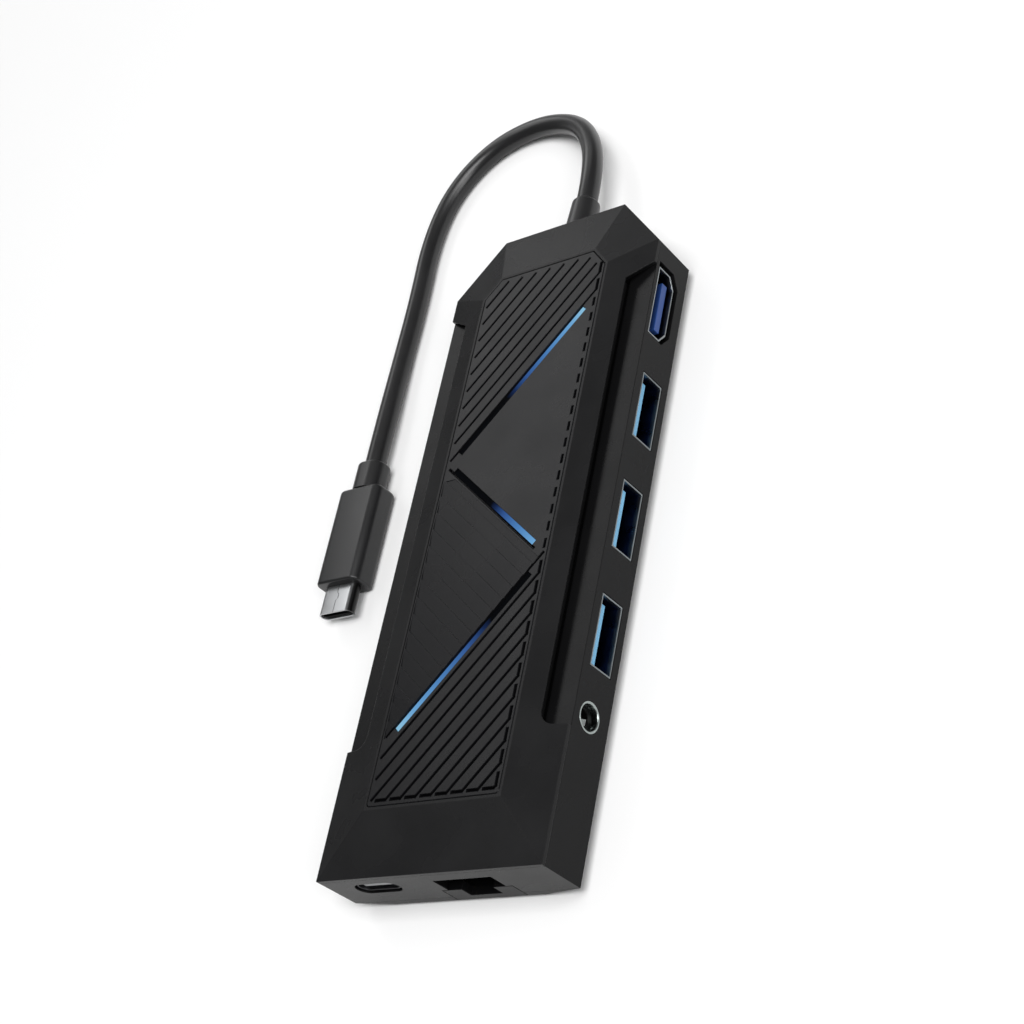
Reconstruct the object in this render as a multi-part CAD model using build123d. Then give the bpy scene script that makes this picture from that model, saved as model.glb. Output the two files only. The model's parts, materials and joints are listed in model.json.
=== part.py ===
"""A laptop docking station: a faceted USB-C hub on a short captive cord.

Millimetres. X runs across the case, with the socket wall at +X. Y runs along it, with the
network socket at the -Y end and the cord at the +Y end. Z points up from the table, and the
origin is the middle of the case's footprint.
"""
import os
from math import atan2, cos, degrees, hypot, radians, tan

from build123d import *

# ---------------------------------------------------------------- driving dimensions
# case
length = 131.5
width = 48.0
foot_proud = 0.75           # rubber feet below the bottom face
bottom_rise = 1.5           # height of the bottom cover's bevelled edge
bottom_bevel = 8.0          # how far that bevel runs in from each side
wall_height = 10.15         # from the bottom cover's edge to the brow of the walls
crown_rise = 2.1            # from the brow up to the plateau
seam_drop = 0.8             # the top cover's seam and side ledges, below the brow
corner_cut_x = 9.7          # far corners, cut off in plan
corner_cut_y = 11.3
near_slope = 11.1           # plan lengths of the crown's four kinds of facet
far_slope = 10.9
side_slope = 9.2
corner_slope = 9.5
wall = 1.6
floor = 1.2
flange_width = 6.7          # the frame's top flange, in from the outside of the wall
flange_thickness = 1.2
fit = 0.1                   # clearance round a piece that seats in another

# side scoops and the vent groove under their edge
scoop_edge = 18.9           # distance of the cut-back crown edge from the centre line
scoop_near = 23.5           # distances along the case from its near end
scoop_far = 112.2
scoop_far_outer = 115.2
scoop_radius = 2.4
groove_depth = 2.0
trench_depth = 0.8          # the groove's floor, below the ledge
lip = 0.3                   # crown left over the groove

# patterned panel on the plateau
panel_rim = 0.5
panel_thickness = 1.6
panel_corner = 0.8
slot_width = 0.55
slot_depth = 0.95
slot_rise = 1.16            # along the case for each step across it
slot_pitch = 3.85           # along the case
far_slots = 10
near_slots = 12
far_slot_start = 9.7        # first far slot, where it would cross the centre line past the panel
near_slot_start = 28.35     # first near slot, the same way from the panel's near edge
field_margin_side = 0.95    # from the panel's edge to the slot ends
field_margin_end = 1.1
hook_length = 2.1
dash_width = 0.45
dash_length = 1.45
dash_pitch = 3.37
rib_pitch = 2.6
rib_depth = 0.15

# light guides in the panel, and their lamps
guide_width = 1.15
guide_sink = 0.2            # guide tops below the plateau
guide_inset = 2.4           # guide ends from the slot field's sides
second_inset_lit = 3.05     # the same for the second guide's two ends
second_inset_dark = 2.2
second_from_third = 6.8     # along the case, from the third guide's dark end to its lit end
second_from_first = 4.5     # and from the first guide's dark end to its dark end
lamp_length = 2.0
lamp_width = 1.6
lamp_height = 0.7
light_board_thickness = 0.6
light_board_width = 4.6

# sockets: sizes of the metal shells and their places from the near end
shell_sheet = 0.3
socket_gap = 0.12           # case opening round a socket's shell
usb_a_width = 13.2
usb_a_height = 5.7
usb_a_depth = 13.4
usb_a_centre_z = 6.91
usb_a_first = 41.85
usb_a_pitch = 22.1
usb_a_count = 3
hdmi_width = 14.5
hdmi_height = 5.1
hdmi_chamfer_x = 2.2
hdmi_chamfer_z = 1.6
hdmi_depth = 10.4
hdmi_sink = 0.4
hdmi_border = 0.6
hdmi_from_far = 23.1
hdmi_centre_z = 7.65
audio_from_near = 26.8
audio_centre_z = 7.45
audio_ring = 5.3            # outer diameter of the bushing
audio_bore = 3.6
usb_c_x = -13.7
usb_c_centre_z = 7.95
usb_c_width = 8.94
usb_c_height = 3.2
usb_c_depth = 7.3
usb_c_border = 0.3
usb_c_sink = 0.35

# network socket with a drop jaw
jack_x = 5.25
mouth_width = 12.1
mouth_top = 9.15
jaw_width = 14.5
jaw_top = 5.0
jaw_length = 10.0           # from the end wall to the pivot
jaw_pivot_z = 3.3
jaw_gap = 0.15
jaw_plate = 1.15
notch_width = 6.6           # room for the plug's latch
notch_bottom = 2.4
jack_depth = 17.5
jaw_swing = 1.6             # room behind the pivot for the jaw's heel
cheek_width = 1.0
ear_length = 3.0
ear_width = 1.2
spring_space = 2.2          # beside the ear, for the spring on the long pin
pin_radius = 0.6
pin_fit = 0.04

# boards and what they carry
board_thickness = 1.0
board_half_width = 20.4
board_gap = 0.6
power_board_thickness = 1.0
post_radius = 2.0
board_screw_radius = 0.8
board_screw_head = 1.5
chip_height = 0.9
pad_thickness = 1.0
spreader_thickness = 0.8
spreader_x = (-19.0, 8.0)
spreader_from_near = (36.0, 94.0)

# screws and feet
boss_x = 20.0
boss_near = 12.0            # from the near end, and from the far one
boss_far = 9.3
boss_far_x = 16.4
boss_radius = 2.3
boss_bottom = 3.3
screw_radius = 1.0
screw_length = 6.0
head_radius = 1.9
head_height = 0.8
foot_radius = 4.0
foot_x = 11.0
foot_from_end = 18.0
foot_seat = 0.4

# captive cord and its plug
cord_diameter = 4.2
cord_exit_z = 7.5
relief_length = 9.0
relief_radius = 3.2
relief_tip_radius = 2.8
relief_neck_radius = 2.4
relief_flange = 1.5         # its flange behind the wall, along the cord
tail_length = 12.0          # the jacket's end inside, from the far end of the case
plug_x = -46.1
plug_z = 3.05
boot_start_y = 26.5
boot_length = 6.2
boot_width = 6.6
boot_height = 5.6
plug_width = 10.9
plug_height = 6.1
plug_corner = 1.8
plug_length = 21.45
tip_width = 8.34
tip_height = 2.56
tip_length = 5.9

# ---------------------------------------------------------------- levels and places
half = width / 2
z_bottom = foot_proud
z_edge = z_bottom + bottom_rise
z_brow = z_edge + wall_height
z_top = z_brow + crown_rise
z_seam = z_brow - seam_drop
z_flange = z_seam - flange_thickness
z_floor = z_bottom + floor
z_panel = z_top - panel_thickness
board_top = usb_a_centre_z - usb_a_height / 2
board_bottom = board_top - board_thickness
near_end = -length / 2
far_end = length / 2
side_normal = (corner_cut_y, corner_cut_x)
power_board_top = usb_c_centre_z - usb_c_height / 2
ear_reach = jaw_width / 2 + jaw_gap + ear_width
spring_reach = ear_reach + spring_space
pivot_y = near_end + jaw_length
jack_front = near_end + wall + 0.05
jack_back = near_end + jack_depth
jack_top = z_flange - 0.1


def along(distance):
    """The Y of a point that lies this far from the case's near end."""
    return near_end + distance


panel_near = near_end + near_slope + panel_rim
panel_far = far_end - far_slope - panel_rim
panel_half = half - side_slope - panel_rim
field_near = panel_near + field_margin_end
field_far = panel_far - field_margin_end
field_half = panel_half - field_margin_side


# ---------------------------------------------------------------- helpers
def at(z, face):
    """A flat face lifted to height z."""
    return Pos(0, 0, z) * face


def prism(face, z_low, z_high):
    """A face in plan, extruded between two heights."""
    return extrude(at(z_low, face), z_high - z_low)


def box_between(x_low, x_high, y_low, y_high, z_low, z_high):
    """A box given by its limits."""
    block = Box(x_high - x_low, y_high - y_low, z_high - z_low, align=Align.MIN)
    return Pos(x_low, y_low, z_low) * block


def cylinder_z(x, y, radius, z_low, z_high):
    """An upright cylinder between two heights."""
    disc = Cylinder(radius, z_high - z_low, align=(Align.CENTER, Align.CENTER, Align.MIN))
    return Pos(x, y, z_low) * disc


def bar(start, end, bar_width):
    """A straight stroke in plan, squared off half its width past both points."""
    run = hypot(end[0] - start[0], end[1] - start[1])
    turn = degrees(atan2(end[1] - start[1], end[0] - start[0]))
    middle = ((start[0] + end[0]) / 2, (start[1] + end[1]) / 2)
    return Pos(*middle) * Rot(0, 0, turn) * Rectangle(run + bar_width, bar_width)


def side_plane(x, y, z):
    """On the socket wall: local X along the case, local Y up, facing out."""
    return Plane(origin=(x, y, z), x_dir=(0, 1, 0), z_dir=(1, 0, 0))


def end_plane(x, y, z):
    """On the near end wall: local X across the case, local Y up, facing out."""
    return Plane(origin=(x, y, z), x_dir=(1, 0, 0), z_dir=(0, -1, 0))


def inward(plane, face, start, depth):
    """A face drawn on a wall, extruded into the case from a start depth."""
    return extrude(plane.offset(-start) * face, -depth)


def write(node, *solids):
    """One node to its STEP file: one solid, or a group of alike separate ones."""
    shape = solids[0] if len(solids) == 1 else Compound(children=list(solids))
    shape.label = node
    export_step(shape, f"parts/{node}.step")


# ---------------------------------------------------------------- case outlines
def case_plan(inset=0.0):
    """The case in plan, its walls moved in by inset."""
    outline = Polygon(
        (-half, near_end), (half, near_end), (half, far_end - corner_cut_y),
        (half - corner_cut_x, far_end), (-half + corner_cut_x, far_end),
        (-half, far_end - corner_cut_y), align=None)
    return offset(outline, -inset, kind=Kind.INTERSECTION) if inset else outline


def facet(x, y, out_x, out_y, run, lower=0.0):
    """The plane of a crown facet that starts at the brow over (x, y) and rises over run."""
    size = hypot(out_x, out_y)
    tilt = (out_x / size * crown_rise, out_y / size * crown_rise, run)
    return Plane(origin=(x, y, z_brow - lower), z_dir=tilt)


def crown(solid):
    """Cuts a block down to the six facets round the plateau."""
    corner_y = far_end - corner_cut_y
    planes = [facet(0, near_end, 0, -1, near_slope), facet(0, far_end, 0, 1, far_slope)]
    for side in (-1, 1):
        planes.append(facet(side * half, 0, side, 0, side_slope))
        planes.append(facet(side * half, corner_y, side * corner_cut_y, corner_cut_x, corner_slope))
    for plane in planes:
        solid = split(solid, bisect_by=plane, keep=Keep.BOTTOM)
    return solid


def scoop_plan(side):
    """The part of the crown that is cut away over a side ledge."""
    rise = (scoop_far_outer - scoop_far) / (half - scoop_edge)
    outline = Polygon(
        (half + 1, along(scoop_near)), (half + 1, along(scoop_far_outer) + rise),
        (scoop_edge, along(scoop_far)), (scoop_edge, along(scoop_near)), align=None)
    inner = outline.vertices().sort_by(Axis.X)[:2].sort_by(Axis.Y)
    outline = fillet(inner[0], scoop_radius)
    return outline if side > 0 else mirror(outline, Plane.YZ)


def groove_plan(side, outer_x=half + 1):
    """The vent groove under the scoop's edge, which tapers out at the far end."""
    rise = (scoop_far_outer - scoop_far) / (half - scoop_edge)
    inner_x = scoop_edge - groove_depth
    inner_far = along(scoop_far) + groove_depth * (1 - rise)
    outline = Polygon(
        (outer_x, along(scoop_near)),
        (outer_x, inner_far + (outer_x - inner_x) * (along(scoop_far_outer) - inner_far) / (half - inner_x)),
        (inner_x, inner_far), (inner_x, along(scoop_near)), align=None)
    inner = outline.vertices().sort_by(Axis.X)[:2].sort_by(Axis.Y)
    outline = fillet(inner[0], min(scoop_radius, 0.9 * (outer_x - inner_x)))
    return outline if side > 0 else mirror(outline, Plane.YZ)


boss_places = [(side * x, y) for x, y in ((boss_x, near_end + boss_near), (boss_far_x, far_end - boss_far))
               for side in (-1, 1)]
foot_places = [(side * foot_x, y) for y in (near_end + foot_from_end, far_end - foot_from_end)
               for side in (-1, 1)]


# ---------------------------------------------------------------- panel pattern
def panel_plan(inset=0.0):
    """The panel's outline: the plateau's, inside its rim, with two rounded near corners."""
    outline = Polygon(
        (-panel_half, panel_near), (panel_half, panel_near),
        (panel_half, panel_far - panel_cut_y), (panel_half - panel_cut_x, panel_far),
        (-panel_half + panel_cut_x, panel_far), (-panel_half, panel_far - panel_cut_y), align=None)
    near = outline.vertices().sort_by(Axis.Y)[:2]
    outline = fillet(near, panel_corner)
    return offset(outline, -inset, kind=Kind.INTERSECTION) if inset else outline


# where the plateau's far corner cut meets its side and its far edge, less the rim
corner_length = hypot(corner_cut_x, corner_cut_y)
corner_reach = (corner_cut_x * corner_cut_y) / corner_length + corner_slope + panel_rim
panel_cut_y = (corner_reach - (half - panel_half) * corner_cut_y / corner_length
               - (far_end - panel_far) * corner_cut_x / corner_length) * corner_length / corner_cut_x
panel_cut_x = panel_cut_y * corner_cut_x / corner_cut_y


def slot_at(x, crossing):
    """The Y of a slot line over x, from where it crosses the centre line."""
    return slot_rise * x + crossing


def slot_across(y, crossing):
    """The X of a slot line at y."""
    return (y - crossing) / slot_rise


far_crossings = [panel_far + far_slot_start - slot_pitch * k for k in range(far_slots)]
near_crossings = [panel_near + near_slot_start - slot_pitch * k for k in range(near_slots)]
slot_length_ratio = hypot(1, slot_rise)
guide_offset = (slot_width + guide_width) / 2 * slot_length_ratio
guide_reach = field_half - guide_inset


def slot_strokes():
    """The slots of the panel's two fields: slanting ones, with hooks at their ends."""
    strokes = []
    corner_sum = field_half - panel_cut_x / 2 + field_far - panel_cut_y / 2
    for crossing in far_crossings:
        right = min(field_half, slot_across(field_far, crossing), (corner_sum - crossing) / (1 + slot_rise))
        strokes.append(((-field_half, slot_at(-field_half, crossing)), (right, slot_at(right, crossing))))
        if right == field_half:
            low = slot_at(right, crossing)
            strokes.append(((field_half, low), (field_half, low + hook_length)))
    for k, crossing in enumerate(near_crossings):
        left = max(-field_half, slot_across(field_near, crossing))
        low = slot_at(field_half, crossing)
        strokes.append(((left, slot_at(left, crossing)), (field_half, low)))
        if k > 0:
            strokes.append(((field_half, low), (field_half, low + hook_length)))
        if left > -field_half + hook_length:
            strokes.append(((left - hook_length, field_near), (left, field_near)))
    return strokes


def dash_strokes():
    """The thin strokes: a row of dashes between the two fields, and a line along the second guide."""
    high = slot_at(field_half, far_crossings[-1]) - hook_length
    low = slot_at(field_half, near_crossings[0]) + dash_width
    strokes = []
    while high - dash_length > low:
        strokes.append(((field_half, high - dash_length), (field_half, high)))
        high -= dash_pitch
    (lit_x, lit_y), (dark_x, dark_y) = guide_lines()[1]
    run = hypot(dark_x - lit_x, dark_y - lit_y)
    step_x, step_y = (lit_x - dark_x) / run, (lit_y - dark_y) / run
    beside_x, beside_y = step_y * guide_width / 2, -step_x * guide_width / 2
    strokes.append((
        (dark_x + beside_x - hook_length * step_x, dark_y + beside_y - hook_length * step_y),
        (lit_x + beside_x + hook_length * step_x, lit_y + beside_y + hook_length * step_y)))
    return strokes


def guide_lines():
    """The three light guides in plan, each from its lamp's end to its dark end."""
    far_line = far_crossings[-1] - guide_offset
    near_line = near_crossings[0] - guide_offset
    first = ((guide_reach, slot_at(guide_reach, far_line)), (-guide_reach, slot_at(-guide_reach, far_line)))
    third = ((-guide_reach, slot_at(-guide_reach, near_line)), (guide_reach, slot_at(guide_reach, near_line)))
    second = ((field_half - second_inset_lit, third[1][1] + second_from_third),
              (second_inset_dark - field_half, first[1][1] - second_from_first))
    return [first, second, third]


def slope_of(start, end):
    """The rise of a line in plan for each step across it."""
    return (end[1] - start[1]) / (end[0] - start[0])


def rib_cutter():
    """Saw-tooth ribs for the left triangle of the panel, parallel to the second guide."""
    second, third = guide_lines()[1:]
    start, end = second[1], second[0]
    run = hypot(end[0] - start[0], end[1] - start[1])
    turn = degrees(atan2(end[1] - start[1], end[0] - start[0]))
    side_x = field_margin_side / 2 - panel_half
    beside = guide_width / cos(radians(turn))
    slope = slope_of(start, end)
    tip_x = (start[1] - beside - near_crossings[0] - start[0] * slope) / (slot_rise - slope)
    field = Polygon(
        (side_x, slot_at(side_x, near_crossings[0])), (tip_x, slot_at(tip_x, near_crossings[0])),
        (start[0], start[1] - beside), (side_x, start[1] - beside), align=None)
    tooth = Plane.YZ * Polygon((0, 0), (rib_pitch, 0), (0, -rib_depth), align=None)
    teeth = []
    for k in range(int(run * 2 / rib_pitch)):
        wedge = Pos(0, -(k + 1) * rib_pitch, 0) * extrude(tooth, 2 * run, both=True)
        teeth.append(Pos(start[0], start[1], z_top) * Rot(0, 0, turn) * wedge)
    return [tooth_cut & prism(field, z_top - 1, z_top + 1) for tooth_cut in teeth]


def louvre_panel():
    """The decorative panel: slots, guide channels, and a ribbed triangle."""
    panel = prism(panel_plan(fit), z_panel, z_top)
    channels = Sketch() + [bar(a, b, guide_width + 2 * fit) for a, b in guide_lines()]
    slots = Sketch() + [bar(a, b, slot_width) for a, b in slot_strokes()]
    slots += [bar(a, b, dash_width) for a, b in dash_strokes()]
    for tooth_cut in rib_cutter():
        if tooth_cut is not None and tooth_cut.volume > 0:
            panel -= tooth_cut
    panel -= prism(slots, z_top - slot_depth, z_top + 1)
    panel -= prism(channels, z_panel - 1, z_top + 1)
    return panel


def light_guide(lamp_end, dark_end):
    """A clear bar in its channel, with a stem down to its lamp."""
    guide = prism(bar(lamp_end, dark_end, guide_width), z_panel + 0.05, z_top - guide_sink)
    stem = prism(stem_plan(lamp_end, dark_end), z_seam - 0.05, z_panel + 0.5)
    return guide + stem


def from_lamp(lamp_end, dark_end, distance):
    """The point of a guide that lies this far from its lamp's end."""
    share = distance / hypot(dark_end[0] - lamp_end[0], dark_end[1] - lamp_end[1])
    return tuple(a + (b - a) * share for a, b in zip(lamp_end, dark_end))


def stem_plan(lamp_end, dark_end, grow=0.0):
    """The stem under a guide's lit end."""
    return bar(lamp_end, from_lamp(lamp_end, dark_end, lamp_length), guide_width - fit + 2 * grow)


def lamp_place(lamp_end, dark_end):
    """The middle of the lamp under a guide's stem."""
    return from_lamp(lamp_end, dark_end, lamp_length / 2)


# ---------------------------------------------------------------- case
def top_cover():
    """The faceted lid: a pocket for the panel, two scoops, and pegs into the frame."""
    lid = crown(prism(case_plan(), z_seam, z_top + 1))
    lid = split(lid, bisect_by=Plane.XY.offset(z_top), keep=Keep.BOTTOM)
    lid -= prism(panel_plan(), z_panel, z_top + 1)
    for a, b in guide_lines():
        lid -= prism(stem_plan(a, b, fit), z_seam - 1, z_top)
    for side in (-1, 1):
        lid -= prism(scoop_plan(side), z_seam - 1, z_top + 1)
        groove = prism(groove_plan(side), z_seam - 1, z_top)
        under_lip = facet(side * half, 0, side, 0, side_slope, lower=lip)
        lid -= split(groove, bisect_by=under_lip, keep=Keep.BOTTOM)
    tongue = case_plan(flange_width + fit) - case_plan(flange_width + fit + wall)
    lid += prism(tongue, z_seam - flange_thickness, z_seam)
    for x, y in boss_places:
        lid += cylinder_z(x, y, screw_radius, z_seam - 2 * flange_thickness, z_seam + 0.2)
    for x, y in light_board_pips():
        lid += cylinder_z(x, y, 1.2, light_board_top(), z_seam + 0.2)
    return lid


def mid_frame():
    """The wall ring with its flange, screw bosses and every socket opening."""
    frame = prism(case_plan() - case_plan(wall), z_edge, z_seam)
    frame += prism(case_plan() - case_plan(flange_width), z_flange, z_seam)
    for x, y in boss_places:
        frame += cylinder_z(x, y, boss_radius, boss_bottom, z_seam)
    for x, y in boss_places:
        frame -= cylinder_z(x, y, screw_radius + 0.02, boss_bottom - 1, z_seam + 1)
    for side in (-1, 1):
        frame -= prism(groove_plan(side, scoop_edge - 0.4), z_seam - trench_depth, z_seam + 1)
    deep = wall + 2
    for y in usb_a_places():
        hole = Rectangle(usb_a_width + 2 * socket_gap, usb_a_height + 2 * socket_gap)
        frame -= inward(side_plane(half, y, usb_a_centre_z), hole, -1, deep)
    frame -= inward(side_plane(half, hdmi_y(), hdmi_centre_z), hdmi_outline(hdmi_border), -1, deep)
    frame -= inward(side_plane(half, along(audio_from_near), audio_centre_z),
                    Circle(audio_ring / 2 + fit / 2), -1, deep)
    usb_c_hole = SlotOverall(usb_c_width + 2 * usb_c_border, usb_c_height + 2 * usb_c_border)
    frame -= inward(end_plane(usb_c_x, near_end, usb_c_centre_z), usb_c_hole, -1, deep)
    gate = jaw_width / 2 + jaw_gap
    frame -= box_between(jack_x - gate, jack_x + gate, near_end - 1, near_end + deep,
                         z_bottom - 1, jaw_top + jaw_gap)
    frame -= box_between(jack_x - mouth_width / 2, jack_x + mouth_width / 2, near_end - 1,
                         near_end + deep, jaw_top, mouth_top)
    cord_hole = Cylinder(relief_neck_radius + fit / 2, 3 * wall, rotation=(90, 0, 0))
    return frame - Pos(0, far_end, cord_exit_z) * cord_hole


def bottom_block(inset):
    """The bottom cover's bevelled block, with its faces moved in by inset."""
    block = prism(case_plan(inset), z_bottom + inset, boss_bottom + 1)
    for side in (-1, 1):
        size = hypot(bottom_rise, bottom_bevel)
        bevel = Plane(origin=(side * half, 0, z_edge), z_dir=(side * bottom_rise, 0, -bottom_bevel))
        block = split(block, bisect_by=bevel.offset(-inset), keep=Keep.BOTTOM)
    return block


def bottom_cover():
    """The dished bottom, with the jaw's gate, screw seats, board posts and foot recesses."""
    cover = bottom_block(0.0)
    cover = split(cover, bisect_by=Plane.XY.offset(z_edge), keep=Keep.BOTTOM)
    lip_ring = prism(case_plan(wall + fit) - case_plan(2 * wall), z_bottom + floor / 2, boss_bottom - 0.3)
    cover += lip_ring & bottom_block(floor / 2)
    dish = bottom_block(floor) & prism(case_plan(2 * wall), 0, boss_bottom + 1)
    cover -= dish
    for x, y in boss_places:
        pad = cylinder_z(x, y, boss_radius, z_bottom, boss_bottom) & bottom_block(0.0)
        cover += pad
        cover -= cylinder_z(x, y, head_radius + fit, z_bottom - 1, boss_bottom - 0.9)
        cover -= cylinder_z(x, y, screw_radius + 0.15, z_bottom - 1, boss_bottom + 1)
    for x, y in foot_places:
        cover -= cylinder_z(x, y, foot_radius, z_bottom - 1, z_bottom + foot_seat)
    for x, y in post_places:
        cover += cylinder_z(x, y, post_radius, z_floor - 0.2, board_bottom)
        cover -= cylinder_z(x, y, board_screw_radius + 0.02, z_floor - 0.3, board_bottom + 1)
    gate = jaw_width / 2 + jaw_gap
    cover -= box_between(jack_x - gate, jack_x + gate, near_end - 1,
                         near_end + jaw_length + jaw_swing, z_bottom - 1, boss_bottom + 1)
    ears = box_between(jack_x - ear_reach - fit, jack_x + spring_reach,
                       near_end + jaw_length - ear_length / 2 - fit,
                       near_end + jaw_length + jaw_swing, z_floor - 0.1, boss_bottom + 1)
    return cover - ears


# ---------------------------------------------------------------- sockets
def usb_a_places():
    """The USB sockets' middles along the case."""
    return [along(usb_a_first + k * usb_a_pitch) for k in range(usb_a_count)]


def hdmi_y():
    """The video socket's middle along the case."""
    return far_end - hdmi_from_far


def usb_a_shell(y):
    """A drawn steel shell, open at the wall and closed behind."""
    wall_plane = side_plane(half, y, usb_a_centre_z)
    shell = inward(wall_plane, Rectangle(usb_a_width, usb_a_height), 0, usb_a_depth)
    inside = Rectangle(usb_a_width - 2 * shell_sheet, usb_a_height - 2 * shell_sheet)
    return shell - inward(wall_plane, inside, -1, usb_a_depth - shell_sheet + 1)


def usb_a_tongue(y):
    """The insulator: a block behind and the contact tongue near the top."""
    wall_plane = side_plane(half, y, usb_a_centre_z)
    inner_width = usb_a_width - 2 * shell_sheet
    inner_height = usb_a_height - 2 * shell_sheet
    block_depth = 3.0
    block = inward(wall_plane, Rectangle(inner_width, inner_height),
                   usb_a_depth - shell_sheet - block_depth, block_depth)
    tongue_height = 1.4
    tongue_start = 1.2
    tongue_plane = side_plane(half, y, usb_a_centre_z + inner_height / 2 - 0.9 - tongue_height / 2)
    tongue = inward(tongue_plane, Rectangle(11.1, tongue_height), tongue_start,
                    usb_a_depth - shell_sheet - tongue_start - 0.5)
    return block + tongue


def hdmi_outline(grow=0.0):
    """The video socket's outline, wide at the top, with both lower corners cut."""
    w, h = hdmi_width / 2 + grow, hdmi_height / 2 + grow
    cut_x, cut_z = hdmi_chamfer_x + grow * 0.4, hdmi_chamfer_z + grow * 0.4
    return Polygon((-w, -h + cut_z), (-w + cut_x, -h), (w - cut_x, -h),
                   (w, -h + cut_z), (w, h), (-w, h), align=None)


def hdmi_shell():
    """The video socket's steel shell."""
    wall_plane = side_plane(half, hdmi_y(), hdmi_centre_z)
    shell = inward(wall_plane, hdmi_outline(), hdmi_sink, hdmi_depth)
    return shell - inward(wall_plane, hdmi_outline(-shell_sheet), 0, hdmi_depth + hdmi_sink - shell_sheet)


def hdmi_tongue():
    """The video socket's insulator and contact tongue."""
    wall_plane = side_plane(half, hdmi_y(), hdmi_centre_z)
    back = hdmi_sink + hdmi_depth - shell_sheet
    block = inward(wall_plane, hdmi_outline(-shell_sheet), back - 2.5, 2.5)
    tongue_plane = side_plane(half, hdmi_y(), hdmi_centre_z - 0.5)
    return block + inward(tongue_plane, Rectangle(10.4, 1.5), 1.0, back - 1.0 - 0.5)


def audio_jack_body():
    """The headphone jack's moulded body, bored for the plug."""
    y = along(audio_from_near)
    depth = 12.0
    start = half - wall - 0.1
    body = box_between(start - depth, start, y - 3.2, y + 3.2, board_top, audio_centre_z + 2.6)
    bore = inward(side_plane(start, y, audio_centre_z), Circle(audio_bore / 2), -1, depth)
    top_window = box_between(start - 9.4, start - 6.8, y - 0.8, y + 0.8, audio_centre_z, audio_centre_z + 4)
    low_window = box_between(start - 4.2, start - 0.3, y - 0.8, y + 0.8, board_top - 1, audio_centre_z)
    return body - bore - top_window - low_window


def audio_jack_ring():
    """The plated bushing in the wall."""
    wall_plane = side_plane(half, along(audio_from_near), audio_centre_z)
    ring = inward(wall_plane, Circle(audio_ring / 2), 0, wall + 0.1)
    bore = inward(wall_plane, Circle(audio_ring / 2 - 0.38), -1, wall + 3)
    ring = ring - bore
    mouth = ring.edges().filter_by(GeomType.CIRCLE).group_by(Axis.X)[-1].sort_by(SortBy.RADIUS)[0]
    return chamfer(mouth, 0.12)


def audio_jack_springs():
    """Two leaf contacts in the jack's windows, above and below the plug, each with a leg out."""
    y = along(audio_from_near)
    start = half - wall - 0.1
    leaf = 0.25
    near_plug = audio_bore / 2 - 0.15
    upper = box_between(start - 9.4, start - 7.0, y - 0.6, y + 0.6,
                        audio_centre_z + near_plug, audio_centre_z + near_plug + leaf)
    upper += box_between(start - 9.4, start - 9.4 + leaf, y - 0.6, y + 0.6,
                         audio_centre_z + near_plug, audio_centre_z + 2.6)
    lower = box_between(start - 4.2, start - 0.6, y - 0.6, y + 0.6,
                        audio_centre_z - near_plug - leaf, audio_centre_z - near_plug)
    lower += box_between(start - 4.2, start - 4.2 + leaf, y - 0.6, y + 0.6,
                         board_top, audio_centre_z - near_plug)
    return upper, lower


def usb_c_shell():
    """The power socket's drawn shell."""
    wall_plane = end_plane(usb_c_x, near_end, usb_c_centre_z)
    shell = inward(wall_plane, SlotOverall(usb_c_width, usb_c_height), usb_c_sink, usb_c_depth)
    inside = SlotOverall(usb_c_width - 2 * shell_sheet, usb_c_height - 2 * shell_sheet)
    return shell - inward(wall_plane, inside, -1, usb_c_depth - shell_sheet + usb_c_sink + 1)


def usb_c_tongue():
    """The power socket's contact tongue on its block."""
    wall_plane = end_plane(usb_c_x, near_end, usb_c_centre_z)
    inside = SlotOverall(usb_c_width - 2 * shell_sheet, usb_c_height - 2 * shell_sheet)
    back = usb_c_sink + usb_c_depth - shell_sheet
    block = inward(wall_plane, inside, back - 1.5, 1.5)
    return block + inward(wall_plane, Rectangle(6.69, 0.9), 0.7, back - 0.7 - 0.5)


def rj45_housing():
    """The network socket's body: a hood over the jaw, a block behind it, and two ears."""
    outer = jaw_width / 2 + jaw_gap + ear_width
    hood = box_between(jack_x - outer, jack_x + outer, jack_front, jack_back, jaw_top + jaw_gap, jack_top)
    rear_low = board_bottom
    rear = box_between(jack_x - outer, jack_x + outer, near_end + jaw_length + jaw_swing + 1.4, jack_back,
                       rear_low, jaw_top + 1)
    housing = hood + rear
    for side in (-1, 1):
        inner = jaw_width / 2 + jaw_gap
        low, high = sorted((jack_x + side * inner, jack_x + side * outer))
        housing += box_between(low, high, pivot_y - ear_length / 2, pivot_y + ear_length / 2,
                               jaw_pivot_z - 1.15, jaw_top + 1)
    cavity_back = jack_back - 3.4
    housing -= box_between(jack_x - mouth_width / 2, jack_x + mouth_width / 2, jack_front - 1, cavity_back,
                           0, mouth_top)
    housing -= contact_row(0.12)
    pin_hole = Cylinder(pin_radius + pin_fit, 2 * outer + 2, rotation=(0, 90, 0))
    return housing - Pos(jack_x, pivot_y, jaw_pivot_z) * pin_hole


def contact_profile(grow):
    """A spring contact seen from the side: along the ceiling, then bent back and down."""
    front = near_end + 4.6
    back = jack_back - 3.0
    top = mouth_top + 0.55 + grow
    return Polygon(
        (back, top), (front, top), (front - 0.4 - grow, mouth_top - 0.2),
        (front - 0.1, mouth_top - 0.75 - grow),
        (back - 4.2, mouth_top - 2.2 - grow), (back - 4.1, mouth_top - 1.95 + grow),
        (front + 0.35, mouth_top - 0.5 + grow), (front + 0.3, mouth_top + 0.3 - grow),
        (back, mouth_top + 0.3 - grow), align=None)


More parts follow.
